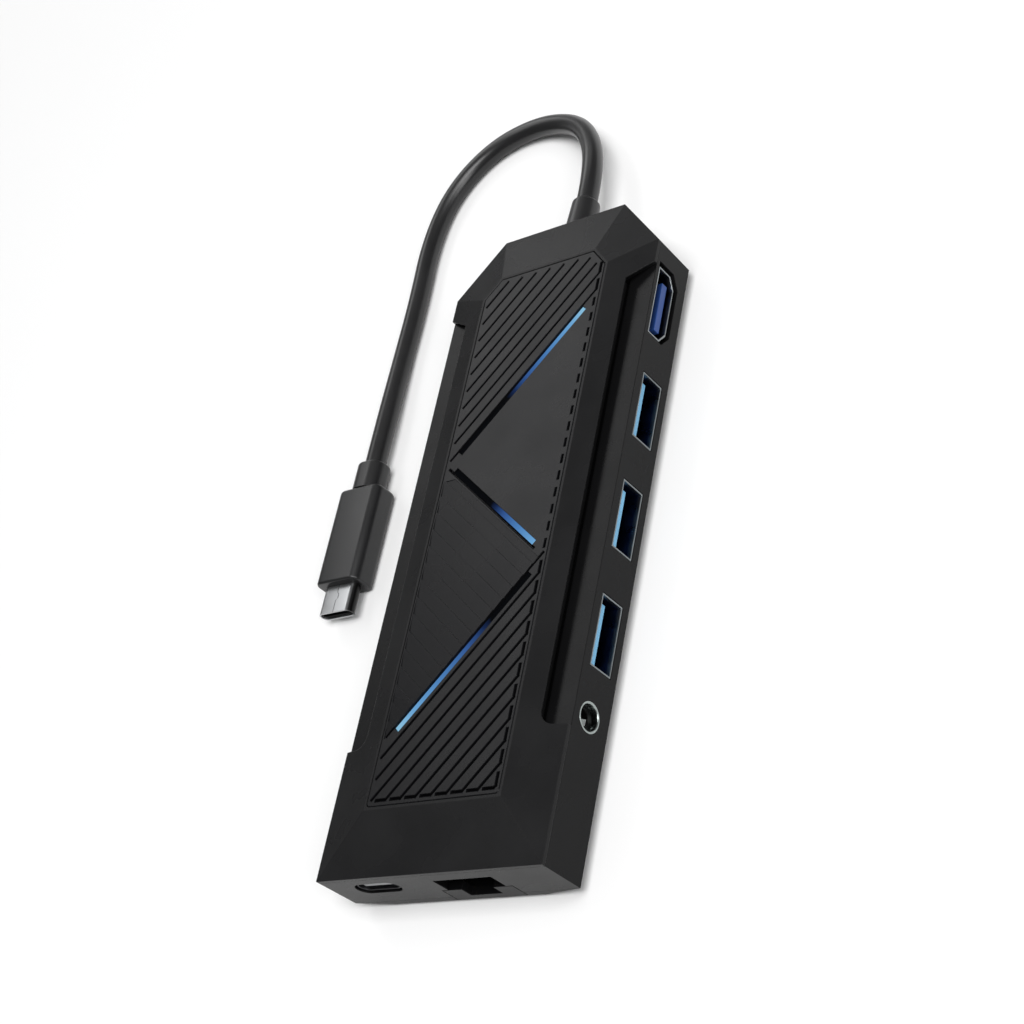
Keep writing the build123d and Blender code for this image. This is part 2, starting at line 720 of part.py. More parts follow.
def contact_row(grow=0.0):
    """Eight contacts side by side, or the slots that they lie in."""
    pitch = 1.02
    contact_width = 0.36 + 2 * grow
    profile = Plane.YZ * contact_profile(grow)
    contact = Pos(-contact_width / 2, 0, 0) * extrude(profile, contact_width)
    return Compound(children=[Pos(jack_x + (k - 3.5) * pitch, 0, 0) * contact for k in range(8)])


def rj45_jaw():
    """The drop jaw: front wall with the latch notch, floor plate, and cheeks to the pivot."""
    w = jaw_width / 2
    front = box_between(jack_x - w, jack_x + w, near_end, near_end + wall, z_bottom, jaw_top)
    plate = box_between(jack_x - w, jack_x + w, near_end, pivot_y, z_bottom, z_bottom + jaw_plate)
    jaw = front + plate
    for side in (-1, 1):
        low, high = sorted((jack_x + side * (w - cheek_width), jack_x + side * w))
        profile = Plane.YZ * Polygon(
            (near_end, z_bottom), (pivot_y, z_bottom), (pivot_y, jaw_pivot_z + 1.3),
            (near_end + wall + 1.2, jaw_top), (near_end, jaw_top), align=None)
        jaw += Pos(low, 0, 0) * extrude(profile, high - low)
        knuckle = Cylinder(1.3, cheek_width, rotation=(0, 90, 0))
        jaw += Pos((low + high) / 2, pivot_y, jaw_pivot_z) * knuckle
    notch = box_between(jack_x - notch_width / 2, jack_x + notch_width / 2, near_end - 1, near_end + wall + 1,
                        notch_bottom, jaw_top + 1)
    pin_hole = Cylinder(pin_radius + pin_fit, jaw_width + 2, rotation=(0, 90, 0))
    return jaw - notch - Pos(jack_x, pivot_y, jaw_pivot_z) * pin_hole


def jaw_pins():
    """Two stub pins, one through each ear and cheek; one runs on to hold the spring."""
    inner = jaw_width / 2 - cheek_width
    left = Pos(jack_x - (inner + ear_reach) / 2, pivot_y, jaw_pivot_z) * Cylinder(
        pin_radius, ear_reach - inner, rotation=(0, 90, 0))
    right = Pos(jack_x + (inner + spring_reach) / 2, pivot_y, jaw_pivot_z) * Cylinder(
        pin_radius, spring_reach - inner, rotation=(0, 90, 0))
    return left, right


def jaw_spring():
    """A torsion spring on the long pin: four close turns and one leg along the socket."""
    wire = 0.35
    coil_radius = 0.95
    first_x = jack_x + ear_reach + 0.3
    ring = Rot(0, 90, 0) * Torus(coil_radius, wire / 2)
    coil = Pos(first_x, pivot_y, jaw_pivot_z) * ring
    for k in range(1, 4):
        coil += Pos(first_x + k * wire, pivot_y, jaw_pivot_z) * ring
    leg = Pos(first_x, pivot_y + 2.0, jaw_pivot_z + coil_radius) * Cylinder(
        wire / 2, 4.0, rotation=(90, 0, 0))
    return coil + leg


# ---------------------------------------------------------------- boards and what they carry
post_places = [(-16.5, along(38.0)), (-16.5, along(97.0)), (7.0, along(30.5)), (7.0, along(100.0))]


def board_plan():
    """The main board: the case less a gap, with the network socket's notch and boss cut-outs."""
    plan = case_plan(wall + board_gap) & Rectangle(2 * board_half_width, 2 * length)
    notch_half = ear_reach + 0.3
    notch_top = jack_back + 0.3
    plan -= Pos(jack_x + (spring_reach - ear_reach) / 2, near_end) * Rectangle(
        2 * notch_half + spring_reach - ear_reach, 2 * (notch_top - near_end))
    for x, y in boss_places:
        plan -= Pos(x, y) * Circle(boss_radius + board_gap)
        plan -= Pos(x * 1.1, y) * Rectangle(boss_radius * 2, 2 * (boss_radius + board_gap))
    for x, y in post_places:
        plan -= Pos(x, y) * Circle(board_screw_radius + 0.1)
    return plan


def main_board():
    """The main circuit board."""
    board = prism(board_plan(), board_bottom, board_top)
    return board.solids().sort_by(SortBy.VOLUME)[-1]


def power_board():
    """The small board that carries the power socket above the main one."""
    y_low = near_end + wall + 0.3
    return box_between(usb_c_x - 3.8, usb_c_x + 5.8, y_low, y_low + 11.5,
                       power_board_top - power_board_thickness, power_board_top)


def power_header():
    """The pin header between the two boards."""
    y = near_end + wall + 9.5
    return box_between(usb_c_x - 3.2, usb_c_x + 5.2, y - 1.2, y + 1.2, board_top,
                       power_board_top - power_board_thickness)


def chip(x, distance, size_x, size_y, height):
    """A packaged circuit on the main board, with its edge chamfered and a first-pin dimple."""
    y = along(distance)
    body = box_between(x - size_x / 2, x + size_x / 2, y - size_y / 2, y + size_y / 2,
                       board_top, board_top + height)
    body = chamfer(body.faces().sort_by(Axis.Z)[-1].edges(), height * 0.12)
    dimple = cylinder_z(x - size_x * 0.36, y + size_y * 0.36, size_x * 0.06,
                        board_top + height - 0.08, board_top + height + 1)
    return body - dimple


chips = {
    "hub_controller": (-6.0, 62.0, 9.0, 9.0, chip_height),
    "video_controller": (-6.0, 84.0, 10.0, 10.0, chip_height),
    "network_controller": (-6.0, 43.0, 7.0, 7.0, chip_height),
    "power_controller": (-14.0, 21.0, 5.0, 5.0, chip_height),
    "audio_codec": (0.5, 31.0, 4.0, 4.0, chip_height),
    "network_transformer": (3.5, 23.2, 12.6, 6.6, 4.6),
    "power_inductor": (-14.0, 28.5, 6.0, 6.0, 2.8),
}


def crystals():
    """Two canned crystals beside the controllers."""
    return [prism(Pos(4.2, along(d)) * RectangleRounded(5.0, 3.2, 0.6), board_top, board_top + 1.0)
            for d in (62.0, 84.0)]


def capacitors():
    """A row of tantalum capacitors beside the USB sockets' power switches."""
    blocks = []
    for k in range(usb_a_count):
        y = usb_a_places()[k] + usb_a_pitch / 2
        blocks.append(box_between(11.5, 15.0, y - 1.4, y + 1.4, board_top, board_top + 1.8))
    return blocks


def thermal_pads():
    """Soft pads between the three hot chips and the heat spreader."""
    pads = []
    for name in ("hub_controller", "video_controller", "network_controller"):
        x, distance, size_x, size_y, height = chips[name]
        low = board_top + height
        pads.append(prism(Pos(x, along(distance)) * Rectangle(size_x, size_y), low, low + pad_thickness))
    return pads


def heat_spreader():
    """A flat aluminium plate with rounded corners, over the hot chips."""
    low = board_top + chip_height + pad_thickness
    (x_low, x_high), (y_low, y_high) = spreader_x, spreader_from_near
    outline = RectangleRounded(x_high - x_low, y_high - y_low, 2.0)
    plan = Pos((x_low + x_high) / 2, along((y_low + y_high) / 2)) * outline
    return prism(plan, low, low + spreader_thickness)


def light_board_top():
    """The upper face of the lamp board."""
    return z_seam - 0.05 - lamp_height - 0.05


def light_board_pips():
    """Stand-offs of the lid that carry the lamp board."""
    x = guide_reach - 0.4
    return [(x, along(34.0)), (x, along(72.0)), (x, along(95.0))]


def light_board():
    """The lamp board: a strip along the case with an arm to the third lamp."""
    lamps = [lamp_place(a, b) for a, b in guide_lines()]
    x_mid = guide_reach - 0.4
    low, high = lamps[2][1], lamps[0][1]
    w = light_board_width / 2
    strip = box_between(x_mid - w, x_mid + w, low - w, high + w, light_board_top() - light_board_thickness,
                        light_board_top())
    arm = box_between(lamps[2][0] - w, x_mid, low - w, low + w, light_board_top() - light_board_thickness,
                      light_board_top())
    return strip + arm


def lamp(lamp_end, dark_end):
    """A surface-mount lamp under a guide's stem."""
    x, y = lamp_place(lamp_end, dark_end)
    turn = degrees(atan2(dark_end[1] - lamp_end[1], dark_end[0] - lamp_end[0]))
    body = Pos(x, y) * Rot(0, 0, turn) * Rectangle(lamp_length, lamp_width)
    return prism(body, light_board_top(), light_board_top() + lamp_height)


# ---------------------------------------------------------------- fasteners and feet
def cover_screws():
    """The case screws: flat heads with a cross drive, sunk in the bottom cover."""
    screws = []
    seat = boss_bottom - 0.9
    for x, y in boss_places:
        head = cylinder_z(x, y, head_radius, seat - head_height, seat)
        drive = Pos(x, y) * (Rectangle(2.0, 0.5) + Rectangle(0.5, 2.0))
        screw = head + cylinder_z(x, y, screw_radius, seat, seat + screw_length)
        screws.append(screw - prism(drive, seat - head_height - 1, seat - head_height + 0.45))
    return screws


def board_screws():
    """Small pan-head screws that hold the main board on its posts."""
    screws = []
    for x, y in post_places:
        head = cylinder_z(x, y, board_screw_head, board_top, board_top + 0.9)
        screws.append(head + cylinder_z(x, y, board_screw_radius, z_floor - 0.25, board_top))
    return screws


def feet():
    """Four round rubber feet in shallow seats."""
    pads = []
    for x, y in foot_places:
        pad = cylinder_z(x, y, foot_radius - fit / 2, 0, z_bottom + foot_seat)
        pads.append(fillet(pad.edges().sort_by(Axis.Z)[0], 0.3))
    return pads


# ---------------------------------------------------------------- cord and plug
cord_radius = cord_diameter / 2
cord_start_y = far_end + relief_length
tail_end = far_end - tail_length
rest_z = cord_radius + 0.02
cord_points = [
    (0, cord_start_y, cord_exit_z),
    (0, 84.4, cord_exit_z),
    (-5.6, 96.6, 5.4),
    (-14.0, 104.2, 3.2),
    (-24.6, 107.4, 2.3),
    (-35.6, 105.2, rest_z),
    (-44.2, 96.8, rest_z),
    (-47.4, 84.2, rest_z),
    (-46.6, 68.0, rest_z),
    (-46.9, 52.0, rest_z),
    (plug_x, 38.0, plug_z),
    (plug_x, boot_start_y, plug_z),
]


def cord_radii():
    """For each corner of the route, the arc that its shorter run allows."""
    points = [Vector(*p) for p in cord_points]
    radii = []
    for before, here, after in zip(points, points[1:], points[2:]):
        shorter = min((here - before).length, (after - here).length)
        turn = radians((here - before).get_angle(after - here))
        radii.append(0.45 * shorter / tan(turn / 2))
    return radii


def cord():
    """The free cord, from the strain relief's tip to the plug's boot."""
    path = FilletPolyline(*cord_points, radius=cord_radii())
    section = Plane(origin=path @ 0, z_dir=path % 0) * Circle(cord_radius)
    tube = sweep(section, path=path)
    print("cord radii", [round(r, 1) for r in cord_radii()], "length", round(path.length, 1))
    print("cord volume over section times length", round(tube.volume / (section.area * path.length), 4))
    return tube


def turned(profile, z):
    """A profile of (radius, y) points turned about the cord's line at the far wall."""
    face = make_face(Polyline(*[(r, y) for r, y in profile], close=True))
    return Pos(0, 0, z) * revolve(face, Axis.Y)


def strain_relief():
    """The moulded collar: a tapered sleeve outside, a neck in the wall, a flange inside."""
    wall_face = far_end - wall - fit
    flange_radius = relief_neck_radius + 0.42
    return turned([
        (0, wall_face - relief_flange), (flange_radius, wall_face - relief_flange),
        (flange_radius, wall_face), (relief_neck_radius, wall_face), (relief_neck_radius, far_end + fit),
        (relief_radius, far_end + fit), (relief_tip_radius, far_end + relief_length - 0.7),
        (cord_radius, far_end + relief_length), (0, far_end + relief_length)], cord_exit_z)


def cord_tail():
    """The cord's jacket inside the case."""
    start = far_end - wall - fit - relief_flange
    tail = Cylinder(cord_radius, start - tail_end, rotation=(90, 0, 0))
    return Pos(0, (start + tail_end) / 2, cord_exit_z) * tail


def cord_clamp():
    """A folded metal saddle over the cord's jacket."""
    sheet = 0.5
    outer = cord_radius + sheet
    plane = Plane(origin=(0, tail_end + 4.5, cord_exit_z), x_dir=(1, 0, 0), z_dir=(0, -1, 0))
    drop = cord_exit_z - board_top
    legs = Pos(0, -drop / 2) * Rectangle(2 * outer, drop)
    tabs = Pos(0, -drop + sheet / 2) * Rectangle(2 * outer + 5, sheet)
    saddle = Circle(outer) + legs + tabs - Circle(cord_radius + 0.02)
    saddle -= Pos(0, -drop / 2 - 0.5) * Rectangle(2 * cord_radius + 0.04, drop + 1)
    return extrude(plane * saddle, 1.5, both=True)


def lead_wires():
    """Six insulated leads from the cord's jacket down to the board."""
    lead_radius = 0.4
    wires = []
    for k in range(6):
        column, row = k % 3 - 1, k // 3
        start = (column * 1.1, tail_end, cord_exit_z + 0.6 - 1.2 * row)
        pad = (column * 2.6, tail_end - 8.0 - 2.0 * row, board_top + lead_radius)
        points = [start, (start[0], tail_end - 3.0, start[2]),
                  (pad[0], pad[1] + 2.2, board_top + lead_radius + 0.01), pad]
        path = FilletPolyline(*points, radius=0.8)
        section = Plane(origin=path @ 0, z_dir=path % 0) * Circle(lead_radius)
        wires.append(sweep(section, path=path))
    return wires


def plug_section(section_width, section_height, corner):
    """A plug's rounded outline across its length."""
    return RectangleRounded(section_width, section_height, corner)


def plug_plane(y):
    """Across the plug at y, facing the tip."""
    return Plane(origin=(plug_x, y, plug_z), x_dir=(-1, 0, 0), z_dir=(0, -1, 0))


body_start_y = boot_start_y - boot_length
tip_start_y = body_start_y - plug_length


def plug_boot():
    """The plug's soft boot."""
    boot = extrude(plug_plane(boot_start_y) * plug_section(boot_width, boot_height, 2.5), boot_length)
    return fillet(boot.edges().group_by(Axis.Y)[-1], 0.6)


def plug_body():
    """The plug's moulded grip."""
    grip = extrude(plug_plane(body_start_y) * plug_section(plug_width, plug_height, plug_corner), plug_length)
    grip = fillet(grip.edges().group_by(Axis.Y)[-1], 0.9)
    grip = fillet(grip.edges().group_by(Axis.Y)[0], 0.5)
    return grip


def plug_shell():
    """The drawn steel tip, hollow from its mouth."""
    tip = extrude(plug_plane(tip_start_y) * SlotOverall(tip_width, tip_height), tip_length)
    inside = SlotOverall(tip_width - 2 * shell_sheet, tip_height - 2 * shell_sheet)
    return tip - extrude(plug_plane(tip_start_y) * inside, tip_length + 1)


def plug_core():
    """The insulator in the tip, slotted for the socket's tongue."""
    inside = SlotOverall(tip_width - 2 * shell_sheet, tip_height - 2 * shell_sheet)
    core = extrude(plug_plane(tip_start_y) * inside, tip_length - 0.35)
    slot = extrude(plug_plane(tip_start_y - 1.2) * Rectangle(6.9, 0.9), tip_length)
    return core - slot


# ---------------------------------------------------------------- output
def main():
    os.makedirs("parts", exist_ok=True)
    write("top_cover", top_cover())
    write("mid_frame", mid_frame())
    write("bottom_cover", bottom_cover())
    write("louvre_panel", louvre_panel())
    for k, (lamp_end, dark_end) in enumerate(guide_lines(), 1):
        write(f"light_guide_{k}", light_guide(lamp_end, dark_end))
        write(f"lamp_{k}", lamp(lamp_end, dark_end))
    write("light_board", light_board())
    write("main_board", main_board())
    write("power_board", power_board())
    write("power_header", power_header())
    for k, y in enumerate(usb_a_places(), 1):
        write(f"usb_a_shell_{k}", usb_a_shell(y))
        write(f"usb_a_tongue_{k}", usb_a_tongue(y))
    write("hdmi_shell", hdmi_shell())
    write("hdmi_tongue", hdmi_tongue())
    write("audio_jack_body", audio_jack_body())
    write("audio_jack_ring", audio_jack_ring())
    write("audio_jack_springs", *audio_jack_springs())
    write("usb_c_shell", usb_c_shell())
    write("usb_c_tongue", usb_c_tongue())
    write("rj45_housing", rj45_housing())
    write("rj45_contacts", *contact_row().children)
    write("rj45_jaw", rj45_jaw())
    write("jaw_pins", *jaw_pins())
    write("jaw_spring", jaw_spring())
    for name, place in chips.items():
        write(name, chip(*place))
    write("crystals", *crystals())
    write("capacitors", *capacitors())
    write("thermal_pads", *thermal_pads())
    write("heat_spreader", heat_spreader())
    write("cover_screws", *cover_screws())
    write("board_screws", *board_screws())
    write("feet", *feet())
    write("strain_relief", strain_relief())
    write("cord_tail", cord_tail())
    write("cord_clamp", cord_clamp())
    write("lead_wires", *lead_wires())
    write("cord", cord())
    write("plug_boot", plug_boot())
    write("plug_body", plug_body())
    write("plug_shell", plug_shell())
    write("plug_core", plug_core())


main()
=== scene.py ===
"""The looks of a laptop docking station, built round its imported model. Metres, in the frame of the CAD."""

import json
from math import atan2, cos, hypot, pi, radians, sin, sqrt

import bmesh
import bpy
from mathutils import Matrix, Vector

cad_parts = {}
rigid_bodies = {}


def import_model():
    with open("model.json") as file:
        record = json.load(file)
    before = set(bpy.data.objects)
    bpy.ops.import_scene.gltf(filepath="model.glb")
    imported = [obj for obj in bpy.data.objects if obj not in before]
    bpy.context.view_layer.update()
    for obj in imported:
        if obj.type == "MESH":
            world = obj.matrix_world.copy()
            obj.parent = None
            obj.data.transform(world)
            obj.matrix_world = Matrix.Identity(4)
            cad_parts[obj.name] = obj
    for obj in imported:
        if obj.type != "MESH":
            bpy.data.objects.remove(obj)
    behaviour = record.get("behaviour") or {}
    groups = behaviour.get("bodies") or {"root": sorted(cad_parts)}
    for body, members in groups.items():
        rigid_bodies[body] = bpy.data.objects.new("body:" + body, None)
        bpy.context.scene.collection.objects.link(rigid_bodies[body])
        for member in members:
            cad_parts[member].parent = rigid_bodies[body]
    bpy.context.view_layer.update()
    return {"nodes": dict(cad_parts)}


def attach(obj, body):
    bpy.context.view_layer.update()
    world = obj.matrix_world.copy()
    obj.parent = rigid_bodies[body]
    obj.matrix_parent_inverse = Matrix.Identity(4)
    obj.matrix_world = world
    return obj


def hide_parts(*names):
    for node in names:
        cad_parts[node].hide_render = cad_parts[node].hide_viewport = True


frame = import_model()
MM = 0.001
HUB, JAW = "hub", "jaw"
ALONG_X, ALONG_Y, ALONG_Z = 0, 1, 2
SOCKET_WALL = 0.024         # the outside of the long wall with the USB sockets
END_WALL = -0.06575         # the outside of the near end wall


# ---------------------------------------------------------------- node trees
class Value:
    """A number or vector that varies over a surface: a socket, with arithmetic."""

    def __init__(self, tree, socket):
        self.tree = tree
        self.socket = socket

    def _with(self, operation, first, second):
        return self.tree.node("ShaderNodeMath", {"operation": operation}, {0: first, 1: second})

    def __add__(self, other):
        return self._with("ADD", self, other)

    def __radd__(self, other):
        return self._with("ADD", other, self)

    def __sub__(self, other):
        return self._with("SUBTRACT", self, other)

    def __rsub__(self, other):
        return self._with("SUBTRACT", other, self)

    def __mul__(self, other):
        return self._with("MULTIPLY", self, other)

    def __rmul__(self, other):
        return self._with("MULTIPLY", other, self)

    def __truediv__(self, other):
        return self._with("DIVIDE", self, other)


class Tree:
    """A node tree that is filled one node at a time."""

    def __init__(self, tree):
        self.tree = tree

    def node(self, kind, settings=None, inputs=None, output=0):
        """Adds a node: its settings first, then a value or a link for each socket."""
        made = self.tree.nodes.new(kind)
        for name, value in (settings or {}).items():
            if name == "stops":
                set_stops(made.color_ramp, value)
            else:
                setattr(made, name, value)
        for key, value in (inputs or {}).items():
            if isinstance(value, Value):
                self.tree.links.new(value.socket, made.inputs[key])
            else:
                made.inputs[key].default_value = value
        return Value(self, made.outputs[output]) if made.outputs else made


def set_stops(ramp, stops):
    """A ramp's stops, each a position and a grey or a colour."""
    while len(ramp.elements) > 1:
        ramp.elements.remove(ramp.elements[-1])
    for index, (position, colour) in enumerate(stops):
        element = ramp.elements[0] if index == 0 else ramp.elements.new(position)
        element.position = position
        element.color = (*colour, 1) if isinstance(colour, tuple) else (colour, colour, colour, 1)


class Finish(Tree):
    """A material on object coordinates, with one Principled shader."""

    # how far an edge's rounding leans where the edge brightening starts, and where it is full: partly rubbing
    # and partly a painted highlight
    WORN_FROM, WORN_TO = 0.01, 0.12

    def __init__(self, name, **constants):
        self.material = bpy.data.materials.new(name)
        self.material.use_nodes = True
        super().__init__(self.material.node_tree)
        self.shader = self.tree.nodes["Principled BSDF"]
        self.place = self.node("ShaderNodeTexCoord", output="Object")
        self.rounded = None
        for socket, value in constants.items():
            self.set(socket.replace("_", " "), value)

    def set(self, socket, value):
        """A constant or a varying value on one of the shader's sockets."""
        if isinstance(value, Value):
            self.tree.links.new(value.socket, self.shader.inputs[socket])
        else:
            self.shader.inputs[socket].default_value = value

    def noise(self, scale, detail=2.0, stretch=None):
        """Noise from 0 to 1, in features per metre, finer or coarser along an axis by stretch."""
        place = self.place
        if stretch:
            place = self.node("ShaderNodeMapping", {}, {"Vector": place, "Scale": stretch})
        return self.node("ShaderNodeTexNoise", {}, {"Vector": place, "Scale": scale, "Detail": detail})

    def range(self, value, low, high, from_low=0.3, from_high=0.7):
        """A value carried from one range to another."""
        return self.node("ShaderNodeMapRange", {}, {
            "Value": value, "From Min": from_low, "From Max": from_high, "To Min": low, "To Max": high})

    def mix(self, factor, first, second):
        """Two colours mixed."""
        made = self.tree.nodes.new("ShaderNodeMix")
        made.data_type = "RGBA"
        for key, value in ((0, factor), (6, first), (7, second)):
            if isinstance(value, Value):
                self.tree.links.new(value.socket, made.inputs[key])
            else:
                made.inputs[key].default_value = value
        return Value(self, made.outputs[2])

    def coordinate(self, axis):
        """The place along one axis."""
        return self.node("ShaderNodeSeparateXYZ", {}, {0: self.place}, axis)

    def size_of(self, value):
        """A value without its sign."""
        return self.node("ShaderNodeMath", {"operation": "ABSOLUTE"}, {0: value})

    def dot(self, first, second):
        """How far one vector runs along another."""
        return self.node("ShaderNodeVectorMath", {"operation": "DOT_PRODUCT"}, {0: first, 1: second}, "Value")

    def within(self, shade_mouth):
        """0 far inside a socket, where the painted shade is full, 1 at its opening: an axis, the far place
        and the opening's.
        """
        axis, deep_shade, open_end = shade_mouth
        return self.range(self.coordinate(axis), 0.0, 1.0, deep_shade, open_end)

    def edges(self, radius):
        """1 along outer edges, which are made brighter partly as rubbing and partly as a painted highlight, 0
        on flat faces; the edges are shaded as rounded to this radius.
        """
        self.rounded = self.node("ShaderNodeBevel", {"samples": 4}, {"Radius": radius})
        straight = self.node("ShaderNodeNewGeometry", output="Normal")
        return self.range(1 - self.dot(self.rounded, straight), 0.0, 1.0, self.WORN_FROM, self.WORN_TO)

    def bump(self, height, depth):
        """Fine relief of this depth in metres, over the rounded edges where there are any."""
        sockets = {"Height": height, "Strength": 1.0, "Distance": depth}
        if self.rounded:
            sockets["Normal"] = self.rounded
        self.set("Normal", self.node("ShaderNodeBump", {}, sockets))


def rgba(red, green, blue):
    """A solid colour, in linear light."""
    return (red, green, blue, 1.0)


def tinted(colour, factor):
    """A colour made darker or lighter."""
    return tuple(channel * factor for channel in colour[:3]) + (1.0,)


# the patterns, in features per metre
CLOUDS, RUBS, SMUDGES, DRAWN_LINES, MOTTLE = 90, 700, 300, 2500, 1500
# the colours that painted shade sinks to inside the sockets and inside the metal shells
SOCKET_PAINTED_SHADE = rgba(0.001, 0.001, 0.0015)
SHELL_PAINTED_SHADE = rgba(0.02, 0.02, 0.025)


def moulded(name, colour, roughness, specular=0.15, grain=6000, depth=0.000006, edge_radius=0.0002, rub_highlight_gain=2.0,
            shade_mouth=None):
    """Moulded plastic: fine grain, uneven gloss, and edges made a little brighter, partly as rubbing and
    partly as a painted highlight.

    The opening is an axis and two distances along it, between which the colour sinks to black as painted
    shade.
    """
    finish = Finish(name, Specular_IOR_Level=specular)
    cloud = finish.noise(CLOUDS, 3.0)
    fine = finish.noise(grain, 2.0)
    # edges made brighter: partly rubbing, partly painted highlight
    rubbed_and_highlit = finish.edges(edge_radius) * finish.range(finish.noise(RUBS, 3.0), 0.25, 1.0)
    base = finish.mix(finish.range(cloud, 0.0, 1.0), tinted(colour, 0.88), tinted(colour, 1.12))
    base = finish.mix(rubbed_and_highlit, base, tinted(colour, rub_highlight_gain))
    # painted shade: the colour sinks to black inside a socket
    if shade_mouth:
        base = finish.mix(finish.within(shade_mouth), SOCKET_PAINTED_SHADE, base)
    finish.set("Base Color", base)
    finish.set("Roughness", finish.range(cloud, roughness - 0.04, roughness + 0.04) - rubbed_and_highlit * 0.08)
    finish.bump(fine, depth)
    return finish.material


def plated(name, colour, roughness, stretch=(1, 1, 1), shade_mouth=None, deep_shade=SHELL_PAINTED_SHADE):
    """Drawn or rolled metal: faint lines of drawing, smudges in the gloss, and edges a little brighter,
    partly as rubbing and partly as a painted highlight; darker inside a socket's opening, as painted shade.
    """
    finish = Finish(name, Metallic=1.0)
    lines = finish.noise(DRAWN_LINES, 3.0, stretch)
    smudge = finish.noise(SMUDGES, 3.0)
    # edges made brighter: partly rubbing, partly painted highlight
    rubbed_and_highlit = finish.edges(0.0001)
    base = finish.mix(finish.range(smudge, 0.0, 1.0), tinted(colour, 0.9), tinted(colour, 1.0))
    base = finish.mix(rubbed_and_highlit, base, tinted(colour, 1.12))
    # painted shade: the metal sinks to a dark colour inside its opening
    if shade_mouth:
        base = finish.mix(finish.within(shade_mouth), deep_shade, base)
    finish.set("Base Color", base)
    finish.set("Roughness", finish.range(smudge, roughness - 0.05, roughness + 0.07))
    finish.bump(lines, 0.000002)
    return finish.material


# the plug's tip, in metres: its middle line, and the seam's hook along and across it
TIP_LINE, HOOK_PLACE = -0.0461, -0.0036
HOOK_REACH, HOOK_DEPTH = 0.0009, 0.00045
SEAM_HALF, SEAM_FADE = 0.00003, 0.00010
# the heights over which the seam shows on top, and the span across over which painted shade falls down the
# right side
TIP_TOP, TIP_SHADED_SIDE = (0.0040, 0.0042), (0.0030, 0.0037)


def tip_metal():
    """The plug's steel: painted shade darkens it down its right side, with the interlocked seam along its
    top.
    """
    finish = Finish("tip_steel", Metallic=1.0)
    smudge = finish.noise(SMUDGES, 3.0)
    across = finish.coordinate(ALONG_X) - TIP_LINE
    lobe = finish.size_of((finish.coordinate(ALONG_Y) - HOOK_PLACE) / HOOK_REACH)
    from_seam = finish.size_of(across - finish.range(lobe, HOOK_DEPTH, 0.0, 0.5, 1.0))
    on_top = finish.range(finish.coordinate(ALONG_Z), 0.0, 1.0, *TIP_TOP)
    seam = finish.range(from_seam, 1.0, 0.0, SEAM_HALF, SEAM_FADE) * on_top
    base = finish.mix(smudge, rgba(0.44, 0.45, 0.46), rgba(0.50, 0.51, 0.52))
    # painted shade down the right side of the tip
    base = finish.mix(finish.range(across, 0.0, 1.0, *TIP_SHADED_SIDE), base, rgba(0.03, 0.03, 0.03))
    finish.set("Base Color", finish.mix(seam, base, rgba(0.10, 0.10, 0.10)))
    finish.set("Roughness", finish.range(smudge, 0.28, 0.38))
    finish.edges(0.0001)
    finish.bump(seam * -1, 0.00003)
    return finish.material


# the glow along a guide, from its lamp on: a share of the way, and the light there
GLOW = [
    (0.0, (0.24, 0.50, 0.70)), (0.10, (0.14, 0.36, 0.64)), (0.28, (0.07, 0.21, 0.48)),
    (0.46, (0.03, 0.09, 0.28)), (0.57, (0.006, 0.018, 0.07)), (0.62, (0, 0, 0))]


def guide_light(name, start, end, reach, lead, edge):
    """A translucent bar lit from one end, and dark past an edge beside its middle line.

    The glow goes further where the reach is more, and starts further down it where the lead is.
    """
    finish = Finish(name, Roughness=0.6, Specular_IOR_Level=0.01, Emission_Strength=1.0)
    run = (Vector(end) - Vector(start)) * reach
    offset = finish.node(
        "ShaderNodeVectorMath", {"operation": "SUBTRACT"}, {0: finish.place, 1: (*start, 0.0)})
    along = finish.dot(offset, (*(run / run.length_squared), 0.0))
    side = finish.dot(offset, (*(Vector((-run.y, run.x)) / run.length), 0.0))
    unlit = finish.node("ShaderNodeMath", {"operation": "GREATER_THAN"}, {0: side, 1: edge})
    mottle = finish.noise(MOTTLE, 2.0)
    share = along + (mottle - 0.5) * 0.03 + lead + unlit
    finish.set("Emission Color", finish.node("ShaderNodeValToRGB", {"stops": GLOW}, {"Fac": share}))
    finish.set("Base Color", finish.mix(mottle, rgba(0.0008, 0.001, 0.0015), rgba(0.0014, 0.0018, 0.0025)))
    finish.bump(mottle, 0.000004)
    return finish.material


# the finishes
CASE = rgba(0.0125, 0.0125, 0.0130)
FRAME = rgba(0.0045, 0.0045, 0.0048)
case_plastic = moulded("case_plastic", CASE, 0.28, specular=0.08)
frame_plastic = moulded("frame_plastic", FRAME, 0.27, specular=0.10)
panel_plastic = moulded("panel_plastic", rgba(0.0052, 0.0052, 0.0060), 0.29, edge_radius=0.0001)
jaw_plastic = moulded("jaw_plastic", FRAME, 0.30, specular=0.08)
socket_black = moulded("socket_black", rgba(0.003, 0.003, 0.003), 0.45)
